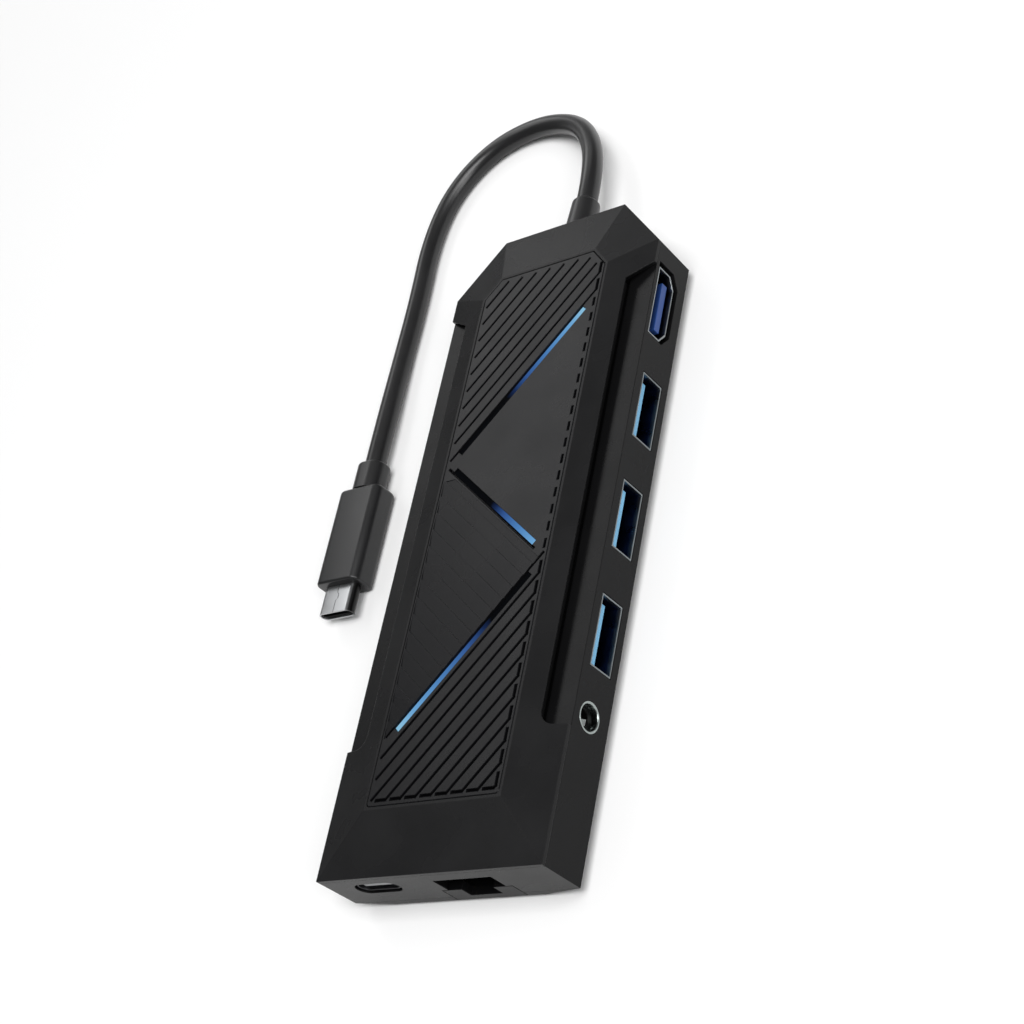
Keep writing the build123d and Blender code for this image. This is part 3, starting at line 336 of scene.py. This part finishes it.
# the blue tongues sink to painted shade inside their sockets
socket_blue = moulded("socket_blue", rgba(0.17, 0.43, 0.66), 0.35, specular=0.4, rub_highlight_gain=1.2,
                      shade_mouth=(ALONG_X, SOCKET_WALL - 0.0042, SOCKET_WALL - 0.0013))
video_blue = moulded("video_blue", rgba(0.022, 0.062, 0.23), 0.35, specular=0.3, rub_highlight_gain=1.4,
                     shade_mouth=(ALONG_X, SOCKET_WALL - 0.0045, SOCKET_WALL - 0.0012))
power_grey = moulded("power_grey", rgba(0.30, 0.31, 0.32), 0.4, specular=0.5)
foot_rubber = moulded("foot_rubber", rgba(0.008, 0.008, 0.008), 0.75, grain=3000, depth=0.00003)
cord_jacket = moulded("cord_jacket", rgba(0.0075, 0.0075, 0.008), 0.33, specular=0.5, grain=2500,
                      depth=0.000005)
plug_plastic = moulded("plug_plastic", rgba(0.008, 0.0082, 0.0088), 0.34, specular=0.5)
lead_colour = moulded("lead_colour", rgba(0.35, 0.03, 0.02), 0.4, specular=0.5)
chip_black = moulded("chip_black", rgba(0.012, 0.012, 0.013), 0.5, grain=8000)
solder_mask = moulded("solder_mask", rgba(0.004, 0.045, 0.018), 0.25, specular=0.5, grain=900, depth=0.00002)
capacitor_yellow = moulded("capacitor_yellow", rgba(0.55, 0.30, 0.04), 0.45)
pad_grey = moulded("pad_grey", rgba(0.14, 0.17, 0.22), 0.7)
lamp_white = moulded("lamp_white", rgba(0.7, 0.72, 0.62), 0.4, specular=0.5)
# the metal shells sink to painted shade inside their openings, bluish in the USB and HDMI shells
shell_steel = plated("shell_steel", rgba(0.24, 0.26, 0.27), 0.30, (1, 0.1, 1),
                     (ALONG_X, SOCKET_WALL - 0.0010, SOCKET_WALL - 0.0001), rgba(0.03, 0.05, 0.14))
video_steel = plated("video_steel", rgba(0.30, 0.32, 0.33), 0.30, (1, 0.1, 1),
                     (ALONG_X, SOCKET_WALL - 0.0014, SOCKET_WALL - 0.0005), rgba(0.02, 0.025, 0.06))
power_steel = plated("power_steel", rgba(0.07, 0.07, 0.075), 0.35, (0.1, 1, 1),
                     (ALONG_Y, END_WALL + 0.0024, END_WALL + 0.0004))
ring_steel = plated("ring_steel", rgba(0.36, 0.40, 0.39), 0.25)
tip_steel = tip_metal()
can_steel = plated("can_steel", rgba(0.62, 0.62, 0.63), 0.3)
spreader_metal = plated("spreader_metal", rgba(0.75, 0.76, 0.77), 0.35, (0.05, 1, 1))
screw_black = plated("screw_black", rgba(0.10, 0.10, 0.11), 0.35)
contact_gold = plated("contact_gold", rgba(0.85, 0.62, 0.25), 0.25)
contact_bright = plated("contact_bright", rgba(0.8, 0.8, 0.8), 0.25)


# ---------------------------------------------------------------- pieces made from the frame's nodes
WELD = 0.000002             # corners nearer than this are one
FLAT = radians(0.8)         # faces nearer to one plane than this are one


def placed(name, mesh):
    """A new object in the scene, with this mesh, curve, camera or light."""
    made = bpy.data.objects.new(name, mesh)
    bpy.context.scene.collection.objects.link(made)
    return made


def settle(piece):
    """Makes a piece's mesh what its modifiers show, and takes them off."""
    graph = bpy.context.evaluated_depsgraph_get()
    shape = bpy.data.meshes.new_from_object(
        piece.evaluated_get(graph), preserve_all_data_layers=True, depsgraph=graph)
    piece.modifiers.clear()
    piece.data = shape


def merged_copy(node, whole_faces):
    """A node's mesh with its triangles joined, and its flat faces made whole again if asked."""
    source = frame["nodes"][node].data
    bare = bpy.data.meshes.new(node + "_bare")
    bare.from_pydata([vertex.co for vertex in source.vertices], [],
                     [tuple(face.vertices) for face in source.polygons])
    shape = bmesh.new()
    shape.from_mesh(bare)
    bmesh.ops.remove_doubles(shape, verts=shape.verts, dist=WELD)
    if whole_faces:
        bmesh.ops.dissolve_limit(shape, angle_limit=FLAT, verts=shape.verts, edges=shape.edges)
    copy = bpy.data.meshes.new(node + "_shape")
    shape.to_mesh(copy)
    shape.free()
    bpy.data.meshes.remove(bare)
    return copy


def eased(node, finish, edge, body=HUB, sharp=28):
    """A node's shape, eased where its faces meet at more than sharp degrees, in place of the node."""
    piece = placed(node + "_eased", merged_copy(node, bool(edge)))
    piece.data.materials.append(finish)
    for face in piece.data.polygons:
        face.use_smooth = True
    if edge:
        ease = piece.modifiers.new("ease", "BEVEL")
        ease.width = edge
        ease.segments = 2
        ease.limit_method = "ANGLE"
        ease.angle_limit = radians(sharp)
        ease.use_clamp_overlap = True
        ease.miter_outer = "MITER_ARC"
        ease.harden_normals = True
    settle(piece)
    if not edge:
        piece.data.set_sharp_from_angle(angle=radians(sharp))
    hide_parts(node)
    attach(piece, body)
    return piece


def finished(node, finish):
    """A node that is shown as it is, in this finish."""
    mesh = frame["nodes"][node].data
    mesh.materials.clear()
    mesh.materials.append(finish)


def folded_strip(name, profile, low, high, thickness):
    """A strip folded along a profile of (x, z) points, between two places along the case."""
    shape = bmesh.new()
    rows = []
    for lift in (0.0, thickness):
        rows.append([[shape.verts.new((x, y, z + lift)) for y in (low, high)] for x, z in profile])
    under, over = rows
    last = len(profile) - 1
    for k in range(last):
        shape.faces.new((under[k][0], under[k][1], under[k + 1][1], under[k + 1][0]))
        shape.faces.new((over[k][0], over[k + 1][0], over[k + 1][1], over[k][1]))
        shape.faces.new((under[k][0], under[k + 1][0], over[k + 1][0], over[k][0]))
        shape.faces.new((under[k][1], over[k][1], over[k + 1][1], under[k + 1][1]))
    shape.faces.new((under[0][0], over[0][0], over[0][1], under[0][1]))
    shape.faces.new((under[last][0], under[last][1], over[last][1], over[last][0]))
    bmesh.ops.recalc_face_normals(shape, faces=shape.faces)
    mesh = bpy.data.meshes.new(name)
    shape.to_mesh(mesh)
    shape.free()
    return mesh


# the headphone socket, in metres: its axis, and each leaf's side of it, heel, touching place and toe
JACK_Y, JACK_Z = -0.03895, 0.00745
LEAVES = {"lower_leaf": (-1, 0.0182, 0.0205, 0.0220), "upper_leaf": (1, 0.0130, 0.0150, 0.0166)}
LEAF_ROOT, LEAF_TOUCH = 0.0017, 0.0006
LEAF_HALF_WIDTH, LEAF_THICKNESS = 0.0006, 0.00022


def jack_leaves():
    """The headphone socket's two leaf contacts, sprung into its bore as they are with no plug in it."""
    shape = bmesh.new()
    for name, (side, heel, touch, toe) in LEAVES.items():
        root, crest = JACK_Z + side * LEAF_ROOT, JACK_Z + side * LEAF_TOUCH
        shape.from_mesh(folded_strip(name, [(heel, root), (touch, crest), (toe, root)],
                                     JACK_Y - LEAF_HALF_WIDTH, JACK_Y + LEAF_HALF_WIDTH, LEAF_THICKNESS))
    shape.from_mesh(merged_copy("audio_jack_springs", False))
    mesh = bpy.data.meshes.new("jack_leaves")
    shape.to_mesh(mesh)
    shape.free()
    mesh.materials.append(contact_bright)
    leaves = placed("jack_leaves", mesh)
    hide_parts("audio_jack_springs")
    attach(leaves, HUB)


# ---------------------------------------------------------------- the slotted panel, made by its rule
# its sizes, in millimetres: the opening it lies in, and the gap and the eased rim round it
PANEL_HALF, PANEL_NEAR, PANEL_FAR = 14.3, -54.15, 54.35
PANEL_TOP, PANEL_UNDER = 14.5, 12.9
PANEL_CUT = (3.393, 3.953)
PANEL_CORNER = 0.8
PANEL_GAP, PANEL_RIM = 0.1, 0.12
# the two fields of slanting slots: their margins, the slots' slope and pitch, and where each slot crosses the
# middle of the panel, from the field's first one towards the near end
SIDE_MARGIN, END_MARGIN = 0.95, 1.1
FIELD_HALF, FIELD_NEAR, FIELD_FAR = PANEL_HALF - SIDE_MARGIN, PANEL_NEAR + END_MARGIN, PANEL_FAR - END_MARGIN
SLOT_RISE, SLOT_PITCH, SLOT_WIDTH, SLOT_DEPTH = 1.16, 3.85, 0.55, 0.95
MOUTH_CHAMFER = 0.07
FAR_FIRST, FAR_COUNT = PANEL_FAR + 9.7, 10
NEAR_FIRST, NEAR_COUNT = PANEL_NEAR + 28.35, 12
FAR_CROSSINGS = [FAR_FIRST - SLOT_PITCH * k for k in range(FAR_COUNT)]
NEAR_CROSSINGS = [NEAR_FIRST - SLOT_PITCH * k for k in range(NEAR_COUNT)]
HOOK_LENGTH, DASH_LENGTH, DASH_PITCH, DASH_WIDTH = 2.1, 1.45, 3.37, 0.45
# the light guides and their channels; the second one's ends are placed from the field's sides and the others
GUIDE_WIDTH, GUIDE_PLAY = 1.15, 0.1
CHANNEL_WIDTH, CHANNEL_DEPTH = GUIDE_WIDTH + 2 * GUIDE_PLAY, 5.0
GUIDE_INSET = 2.4
GUIDE_REACH = FIELD_HALF - GUIDE_INSET
SECOND_INSET_LIT, SECOND_INSET_DARK = 3.05, 2.2
SECOND_FROM_THIRD, SECOND_FROM_FIRST = 6.8, 4.5
LINE_REACH_DARK, LINE_REACH_LIT = 2.1, 1.5
# the saw-tooth ribs of the left triangle, and the bars that cut them, which stand a little proud of the panel
RIB_PITCH, RIB_DEPTH, RIB_MARGIN = 2.6, 0.15, 0.475
BAR_HEIGHT, BAR_HALF_LENGTH, PROUD = 1.0, 40.0, 0.05


def slot_at(x, crossing):
    """The Y of a slot line over x, from where it crosses the centre line."""
    return SLOT_RISE * x + crossing


def slanting_slots():
    """The slanting slots of both fields, each as its two ends in plan."""
    strokes = []
    corner_sum = FIELD_HALF - PANEL_CUT[0] / 2 + FIELD_FAR - PANEL_CUT[1] / 2
    for crossing in FAR_CROSSINGS:
        right = min(FIELD_HALF, (FIELD_FAR - crossing) / SLOT_RISE, (corner_sum - crossing) / (1 + SLOT_RISE))
        strokes.append(((-FIELD_HALF, slot_at(-FIELD_HALF, crossing)), (right, slot_at(right, crossing))))
    for crossing in NEAR_CROSSINGS:
        left = max(-FIELD_HALF, (FIELD_NEAR - crossing) / SLOT_RISE)
        strokes.append(((left, slot_at(left, crossing)), (FIELD_HALF, slot_at(FIELD_HALF, crossing))))
    return strokes


def hooks():
    """The hooks on the slanting slots' ends, all but the first of the near field."""
    strokes = []
    for index, (start, end) in enumerate(slanting_slots()):
        if end[0] == FIELD_HALF and index != len(FAR_CROSSINGS):
            strokes.append((end, (FIELD_HALF, end[1] + HOOK_LENGTH)))
        if abs(start[1] - FIELD_NEAR) < 0.001 and start[0] > HOOK_LENGTH - FIELD_HALF:
            strokes.append(((start[0] - HOOK_LENGTH, FIELD_NEAR), (start[0], FIELD_NEAR)))
    return strokes


def dashes():
    """The thin strokes: the row of dashes between the two fields, and a line along the second guide."""
    high = slot_at(FIELD_HALF, FAR_CROSSINGS[-1]) - HOOK_LENGTH
    low = slot_at(FIELD_HALF, NEAR_CROSSINGS[0]) + DASH_WIDTH
    strokes = []
    while high - DASH_LENGTH > low:
        strokes.append(((FIELD_HALF, high - DASH_LENGTH), (FIELD_HALF, high)))
        high -= DASH_PITCH
    lit, dark = (Vector(end) for end in guide_lines()[1])
    step = (lit - dark).normalized()
    beside = Vector((step.y, -step.x)) * GUIDE_WIDTH / 2
    strokes.append((tuple(dark + beside - LINE_REACH_DARK * step),
                    tuple(lit + beside + LINE_REACH_LIT * step)))
    return strokes


def guide_lines():
    """The three light guides, each from its lamp's end to its dark end."""
    beside = (SLOT_WIDTH + GUIDE_WIDTH) / 2 * hypot(1, SLOT_RISE)
    far_line, near_line = FAR_CROSSINGS[-1] - beside, NEAR_CROSSINGS[0] - beside
    first = ((GUIDE_REACH, slot_at(GUIDE_REACH, far_line)), (-GUIDE_REACH, slot_at(-GUIDE_REACH, far_line)))
    third = ((-GUIDE_REACH, slot_at(-GUIDE_REACH, near_line)), (GUIDE_REACH, slot_at(GUIDE_REACH, near_line)))
    second = ((FIELD_HALF - SECOND_INSET_LIT, third[1][1] + SECOND_FROM_THIRD),
              (SECOND_INSET_DARK - FIELD_HALF, first[1][1] - SECOND_FROM_FIRST))
    return [first, second, third]


def stroke_points(name, strokes, extra, lift=0.0):
    """An object with a point over each stroke's middle, which knows the stroke's length and turn."""
    middles, runs, turns = [], [], []
    for (x0, y0), (x1, y1) in strokes:
        middles.append(((x0 + x1) / 2 * MM, (y0 + y1) / 2 * MM, (PANEL_TOP + lift) * MM))
        runs.append((hypot(x1 - x0, y1 - y0) + extra) * MM)
        turns.append(atan2(y1 - y0, x1 - x0))
    mesh = bpy.data.meshes.new(name)
    mesh.from_pydata(middles, [], [])
    for title, values in (("run", runs), ("turn", turns)):
        mesh.attributes.new(title, "FLOAT", "POINT").data.foreach_set("value", values)
    return placed(name, mesh)


def moved_in(outline, inset):
    """A convex outline, listed counter-clockwise, with every side moved in."""
    points = [Vector(point) for point in outline]
    result = []
    for before, here, after in zip(points[-1:] + points[:-1], points, points[1:] + points[:1]):
        first = (here - before).normalized()
        second = (after - here).normalized()
        normal = Vector((-first.y - second.y, first.x + second.x))
        result.append(here + normal * (2 * inset / normal.length_squared))
    return result


def stacked(name, levels):
    """A closed block through outlines of equal count, each with its height, from the lowest up."""
    count = len(levels[0][0])
    points = [(x * MM, y * MM, z * MM) for outline, z in levels for x, y in outline]
    faces = [tuple(reversed(range(count))), tuple(range(len(points) - count, len(points)))]
    for level in range(len(levels) - 1):
        for k in range(count):
            a, b = level * count + k, level * count + (k + 1) % count
            faces.append((a, b, b + count, a + count))
    mesh = bpy.data.meshes.new(name)
    mesh.from_pydata(points, [], faces)
    return placed(name, mesh)


def panel_outline():
    """The panel's outline, counter-clockwise, with two round near corners and two cut far ones."""
    centre_x, centre_y = PANEL_HALF - PANEL_CORNER, PANEL_NEAR + PANEL_CORNER
    outline = []
    for side, first in ((-1, pi), (1, 1.5 * pi)):
        for k in range(7):
            turn = first + k * pi / 12
            outline.append((side * centre_x + PANEL_CORNER * cos(turn), centre_y + PANEL_CORNER * sin(turn)))
    cut_x, cut_y = PANEL_CUT
    right = [(PANEL_HALF, PANEL_FAR - cut_y), (PANEL_HALF - cut_x, PANEL_FAR)]
    left = [(-x, y) for x, y in reversed(right)]
    return outline + right + left


def rib_field():
    """A thin block over the left triangle, which limits the ribs."""
    (x1, y1), (x0, y0) = guide_lines()[1]
    slope = (y1 - y0) / (x1 - x0)
    side_x = RIB_MARGIN - PANEL_HALF
    high = y0 - GUIDE_WIDTH / cos(atan2(y1 - y0, x1 - x0))
    tip_x = (high - NEAR_CROSSINGS[0] - x0 * slope) / (SLOT_RISE - slope)
    outline = [(side_x, slot_at(side_x, NEAR_CROSSINGS[0])), (tip_x, slot_at(tip_x, NEAR_CROSSINGS[0])),
               (x0, high), (side_x, high)]
    return stacked("rib_field", [(outline, PANEL_TOP - BAR_HEIGHT), (outline, PANEL_TOP + PROUD)])


class Builder(Tree):
    """A Geometry Nodes tree with named inputs, in metres."""

    def __init__(self, name, sockets):
        super().__init__(bpy.data.node_groups.new(name, "GeometryNodeTree"))
        self.tree.interface.new_socket("Geometry", in_out="INPUT", socket_type="NodeSocketGeometry")
        self.ids = {}
        for title, kind in sockets.items():
            made = self.tree.interface.new_socket(title, in_out="INPUT", socket_type="NodeSocket" + kind)
            self.ids[title] = made.identifier
        self.tree.interface.new_socket("Geometry", in_out="OUTPUT", socket_type="NodeSocketGeometry")
        self.entry = self.tree.nodes.new("NodeGroupInput")

    def given(self, title):
        """One of the tree's inputs."""
        return Value(self, self.entry.outputs[title])

    def vector(self, x=0.0, y=0.0, z=0.0):
        """A vector of numbers and values."""
        return self.node("ShaderNodeCombineXYZ", {}, {0: x, 1: y, 2: z})

    def attribute(self, title):
        """What each point knows under this name."""
        return self.node("GeometryNodeInputNamedAttribute", {"data_type": "FLOAT"}, {"Name": title})

    def bars(self, places, size, roll=0.0):
        """A bar on every point of an object, as long as the point's run and turned as it says."""
        bar = self.node("GeometryNodeMeshCube", {}, {"Size": size})
        bar = self.node("GeometryNodeTransform", {}, {"Geometry": bar, "Rotation": self.vector(roll)})
        points = self.node("GeometryNodeObjectInfo", {}, {"Object": places}, "Geometry")
        rows = self.node("GeometryNodeInstanceOnPoints", {}, {
            "Points": points, "Instance": bar, "Rotation": self.vector(z=self.attribute("turn")),
            "Scale": self.vector(self.attribute("run"), 1.0, 1.0)})
        return self.node("GeometryNodeRealizeInstances", {}, {"Geometry": rows})

    def cut(self, block, cutter, operation="DIFFERENCE"):
        """One mesh less another, or only their common part."""
        made = self.tree.nodes.new("GeometryNodeMeshBoolean")
        made.operation = operation
        made.solver = "MANIFOLD"
        first = made.inputs["Mesh 1"] if operation == "DIFFERENCE" else made.inputs["Mesh 2"]
        self.tree.links.new(block.socket, first)
        self.tree.links.new(cutter.socket, made.inputs["Mesh 2"])
        return Value(self, made.outputs["Mesh"])

    def finish(self, shape, material):
        """The last nodes: real geometry, in its material."""
        shape = self.node("GeometryNodeRealizeInstances", {}, {"Geometry": shape})
        shape = self.node("GeometryNodeSetMaterial", {}, {"Geometry": shape, "Material": material})
        out = self.tree.nodes.new("NodeGroupOutput")
        self.tree.links.new(shape.socket, out.inputs["Geometry"])


def panel_builder():
    """A tree that cuts ribs, slots with chamfered mouths and the guides' channels out of a block."""
    build = Builder("slotted_panel", {
        "Slots": "Object", "Hooks": "Object", "Dashes": "Object", "Channels": "Object",
        "Ribs": "Object", "Rib field": "Object",
        "Slot width": "Float", "Dash width": "Float", "Slot depth": "Float", "Mouth chamfer": "Float",
        "Channel width": "Float", "Channel depth": "Float", "Rib pitch": "Float", "Rib tilt": "Float",
        "Bar height": "Float", "Material": "Material"})
    depth = build.given("Slot depth") * 2
    body = build.given("Geometry")
    tooth = build.vector(1.0, build.given("Rib pitch"), build.given("Bar height"))
    teeth = build.bars(build.given("Ribs"), tooth, build.given("Rib tilt"))
    field = build.node("GeometryNodeObjectInfo", {}, {"Object": build.given("Rib field")}, "Geometry")
    body = build.cut(body, build.cut(field, teeth, "INTERSECT"))
    for title, stroke in (("Slots", "Slot width"), ("Hooks", "Slot width"), ("Dashes", "Dash width")):
        wide = (build.given(stroke) / 2 + build.given("Mouth chamfer")) * sqrt(2)
        body = build.cut(body, build.bars(build.given(title), build.vector(1.0, build.given(stroke), depth)))
        body = build.cut(body, build.bars(build.given(title), build.vector(1.0, wide, wide), pi / 4))
    channel = build.vector(1.0, build.given("Channel width"), build.given("Channel depth") * 2)
    body = build.cut(body, build.bars(build.given("Channels"), channel))
    build.finish(body, build.given("Material"))
    return build


def rib_strokes():
    """The middle of each saw-tooth rib, with the second guide's turn, from the guide down."""
    (x1, y1), (x0, y0) = guide_lines()[1]
    along = Vector((x1 - x0, y1 - y0)).normalized()
    across = Vector((along.y, -along.x))
    strokes = []
    for k in range(int(2 * hypot(x1 - x0, y1 - y0) / RIB_PITCH)):
        start = Vector((x0, y0)) + across * (k + 0.5) * RIB_PITCH
        strokes.append((tuple(start - along * BAR_HALF_LENGTH), tuple(start + along * BAR_HALF_LENGTH)))
    return strokes


def louvre_panel():
    """The panel: its block, cut by the tree."""
    outline = panel_outline()
    outer = moved_in(outline, PANEL_GAP)
    upper = moved_in(outline, PANEL_GAP + PANEL_RIM)
    levels = [(outer, PANEL_UNDER), (outer, PANEL_TOP - PANEL_RIM), (upper, PANEL_TOP)]
    panel = stacked("slotted_panel", levels)
    tilt = atan2(RIB_DEPTH, RIB_PITCH)
    lift = BAR_HEIGHT / 2 / cos(tilt) - RIB_DEPTH / 2
    helpers = {
        "Slots": stroke_points("slots", slanting_slots(), SLOT_WIDTH),
        "Hooks": stroke_points("hooks", hooks(), SLOT_WIDTH),
        "Dashes": stroke_points("dashes", dashes(), DASH_WIDTH),
        "Channels": stroke_points("channels", guide_lines(), CHANNEL_WIDTH),
        "Ribs": stroke_points("ribs", rib_strokes(), 0.0, lift),
        "Rib field": rib_field()}
    sizes = {
        "Slot width": SLOT_WIDTH * MM, "Dash width": DASH_WIDTH * MM, "Slot depth": SLOT_DEPTH * MM,
        "Mouth chamfer": MOUTH_CHAMFER * MM, "Channel width": CHANNEL_WIDTH * MM,
        "Channel depth": CHANNEL_DEPTH * MM, "Rib pitch": RIB_PITCH / cos(tilt) * MM, "Rib tilt": tilt,
        "Bar height": BAR_HEIGHT * MM, "Material": panel_plastic}
    build = panel_builder()
    modifier = panel.modifiers.new("slotted_panel", "NODES")
    modifier.node_group = build.tree
    for title, value in {**helpers, **sizes}.items():
        modifier[build.ids[title]] = value
    settle(panel)
    for helper in helpers.values():
        bpy.data.objects.remove(helper)
    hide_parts("louvre_panel")
    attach(panel, HUB)


# ---------------------------------------------------------------- the camera, the cord and the studio
# the camera's place in metres, its right, its up and the way it looks, and its lens and shift
CAMERA_PLACE = (0.206552, -0.160745, 0.22664)
RIGHT = Vector((0.77901, 0.18210, -0.59998))
UP = Vector((0.16637, 0.86257, 0.47781))
FORWARD = Vector((-0.60453, 0.47204, -0.64165))
LENS, SENSOR = 67.70, 36.0
SHIFT_X, SHIFT_Y = -0.0059, 0.0176


def camera():
    """The camera, at the hub's three-quarter view."""
    data = bpy.data.cameras.new("camera")
    data.lens = LENS
    data.sensor_width = SENSOR
    data.shift_x = SHIFT_X
    data.shift_y = SHIFT_Y
    data.clip_start = 0.01
    made = placed("camera", data)
    turn = Matrix((RIGHT, UP, -FORWARD)).transposed()
    made.matrix_world = Matrix.Translation(CAMERA_PLACE) @ turn.to_4x4()
    bpy.context.scene.camera = made


# the cord's route, in metres, from the strain relief's end to the plug's boot
CORD_EXIT = (0.0, 0.07475, 0.0075)
CORD_ROUTE = [
    CORD_EXIT, (0.0, 0.0844, 0.0075), (-0.0056, 0.0966, 0.0054), (-0.0140, 0.1042, 0.0032),
    (-0.0246, 0.1074, 0.0023), (-0.0356, 0.1052, 0.00212), (-0.0442, 0.0968, 0.00212),
    (-0.0474, 0.0842, 0.00212), (-0.0466, 0.0680, 0.00212), (-0.0469, 0.0520, 0.00212),
    (-0.0461, 0.0380, 0.00305), (-0.0461, 0.0265, 0.00305)]
CORD_DIAMETER = 0.0042


def cord():
    """The free cord along its route, in place of the cord node."""
    data = bpy.data.curves.new("cord", "CURVE")
    data.dimensions = "3D"
    spline = data.splines.new("NURBS")
    spline.points.add(len(CORD_ROUTE) - 1)
    for point, place in zip(spline.points, CORD_ROUTE):
        point.co = (*place, 1.0)
    spline.order_u = 3
    spline.use_endpoint_u = True
    spline.resolution_u = 12
    data.bevel_depth = CORD_DIAMETER / 2
    data.bevel_resolution = 8
    data.use_fill_caps = True
    data.materials.append(cord_jacket)
    piece = placed("free_cord", data)
    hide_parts("cord")
    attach(piece, HUB)


FLOOR_REACH = 4.0
WORLD_LIGHT = 0.20
# the soft lights: the way to each, its distance, the way its length lies, its length and width, and its power
LIGHTS = {
    "key": ((-0.58, 0.48, 0.66), 0.9, (0.0, 0.47, -0.35), (0.95, 0.24), 1.7),
    "behind": ((-0.22, 0.82, 0.53), 1.0, (1, 0, 0), (0.6, 0.4), 0.6),
    "overhead": ((0.40, -0.15, 1.3), 1.3, (0, 1, 0), (0.8, 0.8), 14.0),
    "socket_side": ((1.0, -0.35, 0.75), 1.0, (0, 1, 0), (0.5, 0.5), 4.0)}


def soft_light(name, place, distance, along, size, power):
    """A soft light that faces the object, its length along a direction."""
    data = bpy.data.lights.new(name, "AREA")
    data.shape = "RECTANGLE"
    data.size, data.size_y = size
    data.energy = power
    away = Vector(place).normalized()
    length = Vector(along)
    length = (length - away * length.dot(away)).normalized()
    turn = Matrix((length, away.cross(length), away)).transposed()
    placed(name, data).matrix_world = Matrix.Translation(away * distance) @ turn.to_4x4()


def studio():
    """A pale floor, an even pale surround, and the soft lights."""
    corners = [(-1, -1), (1, -1), (1, 1), (-1, 1)]
    floor_mesh = bpy.data.meshes.new("floor")
    floor_mesh.from_pydata([(x * FLOOR_REACH, y * FLOOR_REACH, 0) for x, y in corners], [], [(0, 1, 2, 3)])
    floor = placed("floor", floor_mesh)
    pale = Finish("pale_floor", Roughness=0.9, Specular_IOR_Level=0.1)
    pale.set("Base Color", pale.mix(pale.noise(6, 2.0), rgba(0.86, 0.86, 0.86), rgba(0.88, 0.88, 0.88)))
    floor_mesh.materials.append(pale.material)
    world = bpy.data.worlds.new("studio")
    world.use_nodes = True
    background = world.node_tree.nodes["Background"]
    background.inputs["Color"].default_value = rgba(1.0, 1.0, 1.0)
    background.inputs["Strength"].default_value = WORLD_LIGHT
    bpy.context.scene.world = world
    for name, settings in LIGHTS.items():
        soft_light(name, *settings)


# ---------------------------------------------------------------- the object
# each piece's node, its finish, the width its edges are eased by in metres, and the body it moves with where
# that is not the hub
camera()
relief = eased("strain_relief", cord_jacket, 0.0002)
boot = eased("plug_boot", cord_jacket, 0)
grip = eased("plug_body", plug_plastic, 0)
tip = eased("plug_shell", tip_steel, 0)
core = eased("plug_core", socket_black, 0.00005)
cord()

eased("top_cover", case_plastic, 0.00022, sharp=8)
eased("mid_frame", frame_plastic, 0.00012, sharp=20)
eased("bottom_cover", case_plastic, 0.00015, sharp=8)
louvre_panel()
eased("rj45_jaw", jaw_plastic, 0.00012, JAW)
eased("rj45_housing", socket_black, 0.00008)
for k in (1, 2, 3):
    eased(f"usb_a_shell_{k}", shell_steel, 0.00008)
    eased(f"usb_a_tongue_{k}", socket_blue, 0.0001)
eased("hdmi_shell", video_steel, 0.00008)
eased("hdmi_tongue", video_blue, 0.0001)
eased("usb_c_shell", power_steel, 0.00006)
eased("usb_c_tongue", power_grey, 0.00005)
eased("audio_jack_ring", ring_steel, 0)
eased("audio_jack_body", socket_black, 0)
jack_leaves()
eased("feet", foot_rubber, 0)
eased("cover_screws", screw_black, 0.00008)

# each guide's reach and lead, and how far beside its middle line it is lit: the second one is dark under
# the line that is cut along it
WHOLE_WIDTH, LINE_SHADE = 1.0, 0.22
GUIDE_GLOWS = [(1.0, 0.0, WHOLE_WIDTH * MM), (1.02, 0.10, (GUIDE_WIDTH / 2 - LINE_SHADE) * MM),
               (1.16, 0.0, WHOLE_WIDTH * MM)]
for k, ((lit, dark), glow) in enumerate(zip(guide_lines(), GUIDE_GLOWS), 1):
    start, end = (tuple(value * MM for value in point) for point in (lit, dark))
    finished(f"light_guide_{k}", guide_light(f"guide_light_{k}", start, end, *glow))
    finished(f"lamp_{k}", lamp_white)

# what lies inside the case, by its finish
INSIDE = [
    (screw_black, ["board_screws"]),
    (capacitor_yellow, ["capacitors"]),
    (can_steel, ["cord_clamp", "crystals", "jaw_pins", "jaw_spring"]),
    (cord_jacket, ["cord_tail"]),
    (spreader_metal, ["heat_spreader"]),
    (lead_colour, ["lead_wires"]),
    (solder_mask, ["light_board", "main_board", "power_board"]),
    (socket_black, ["power_header"]),
    (contact_gold, ["rj45_contacts"]),
    (pad_grey, ["thermal_pads"]),
    (chip_black, ["hub_controller", "video_controller", "network_controller", "power_controller",
                  "audio_codec", "network_transformer", "power_inductor"])]
for finish, nodes in INSIDE:
    for node in nodes:
        finished(node, finish)

studio()
bpy.context.scene.view_settings.view_transform = "Standard"
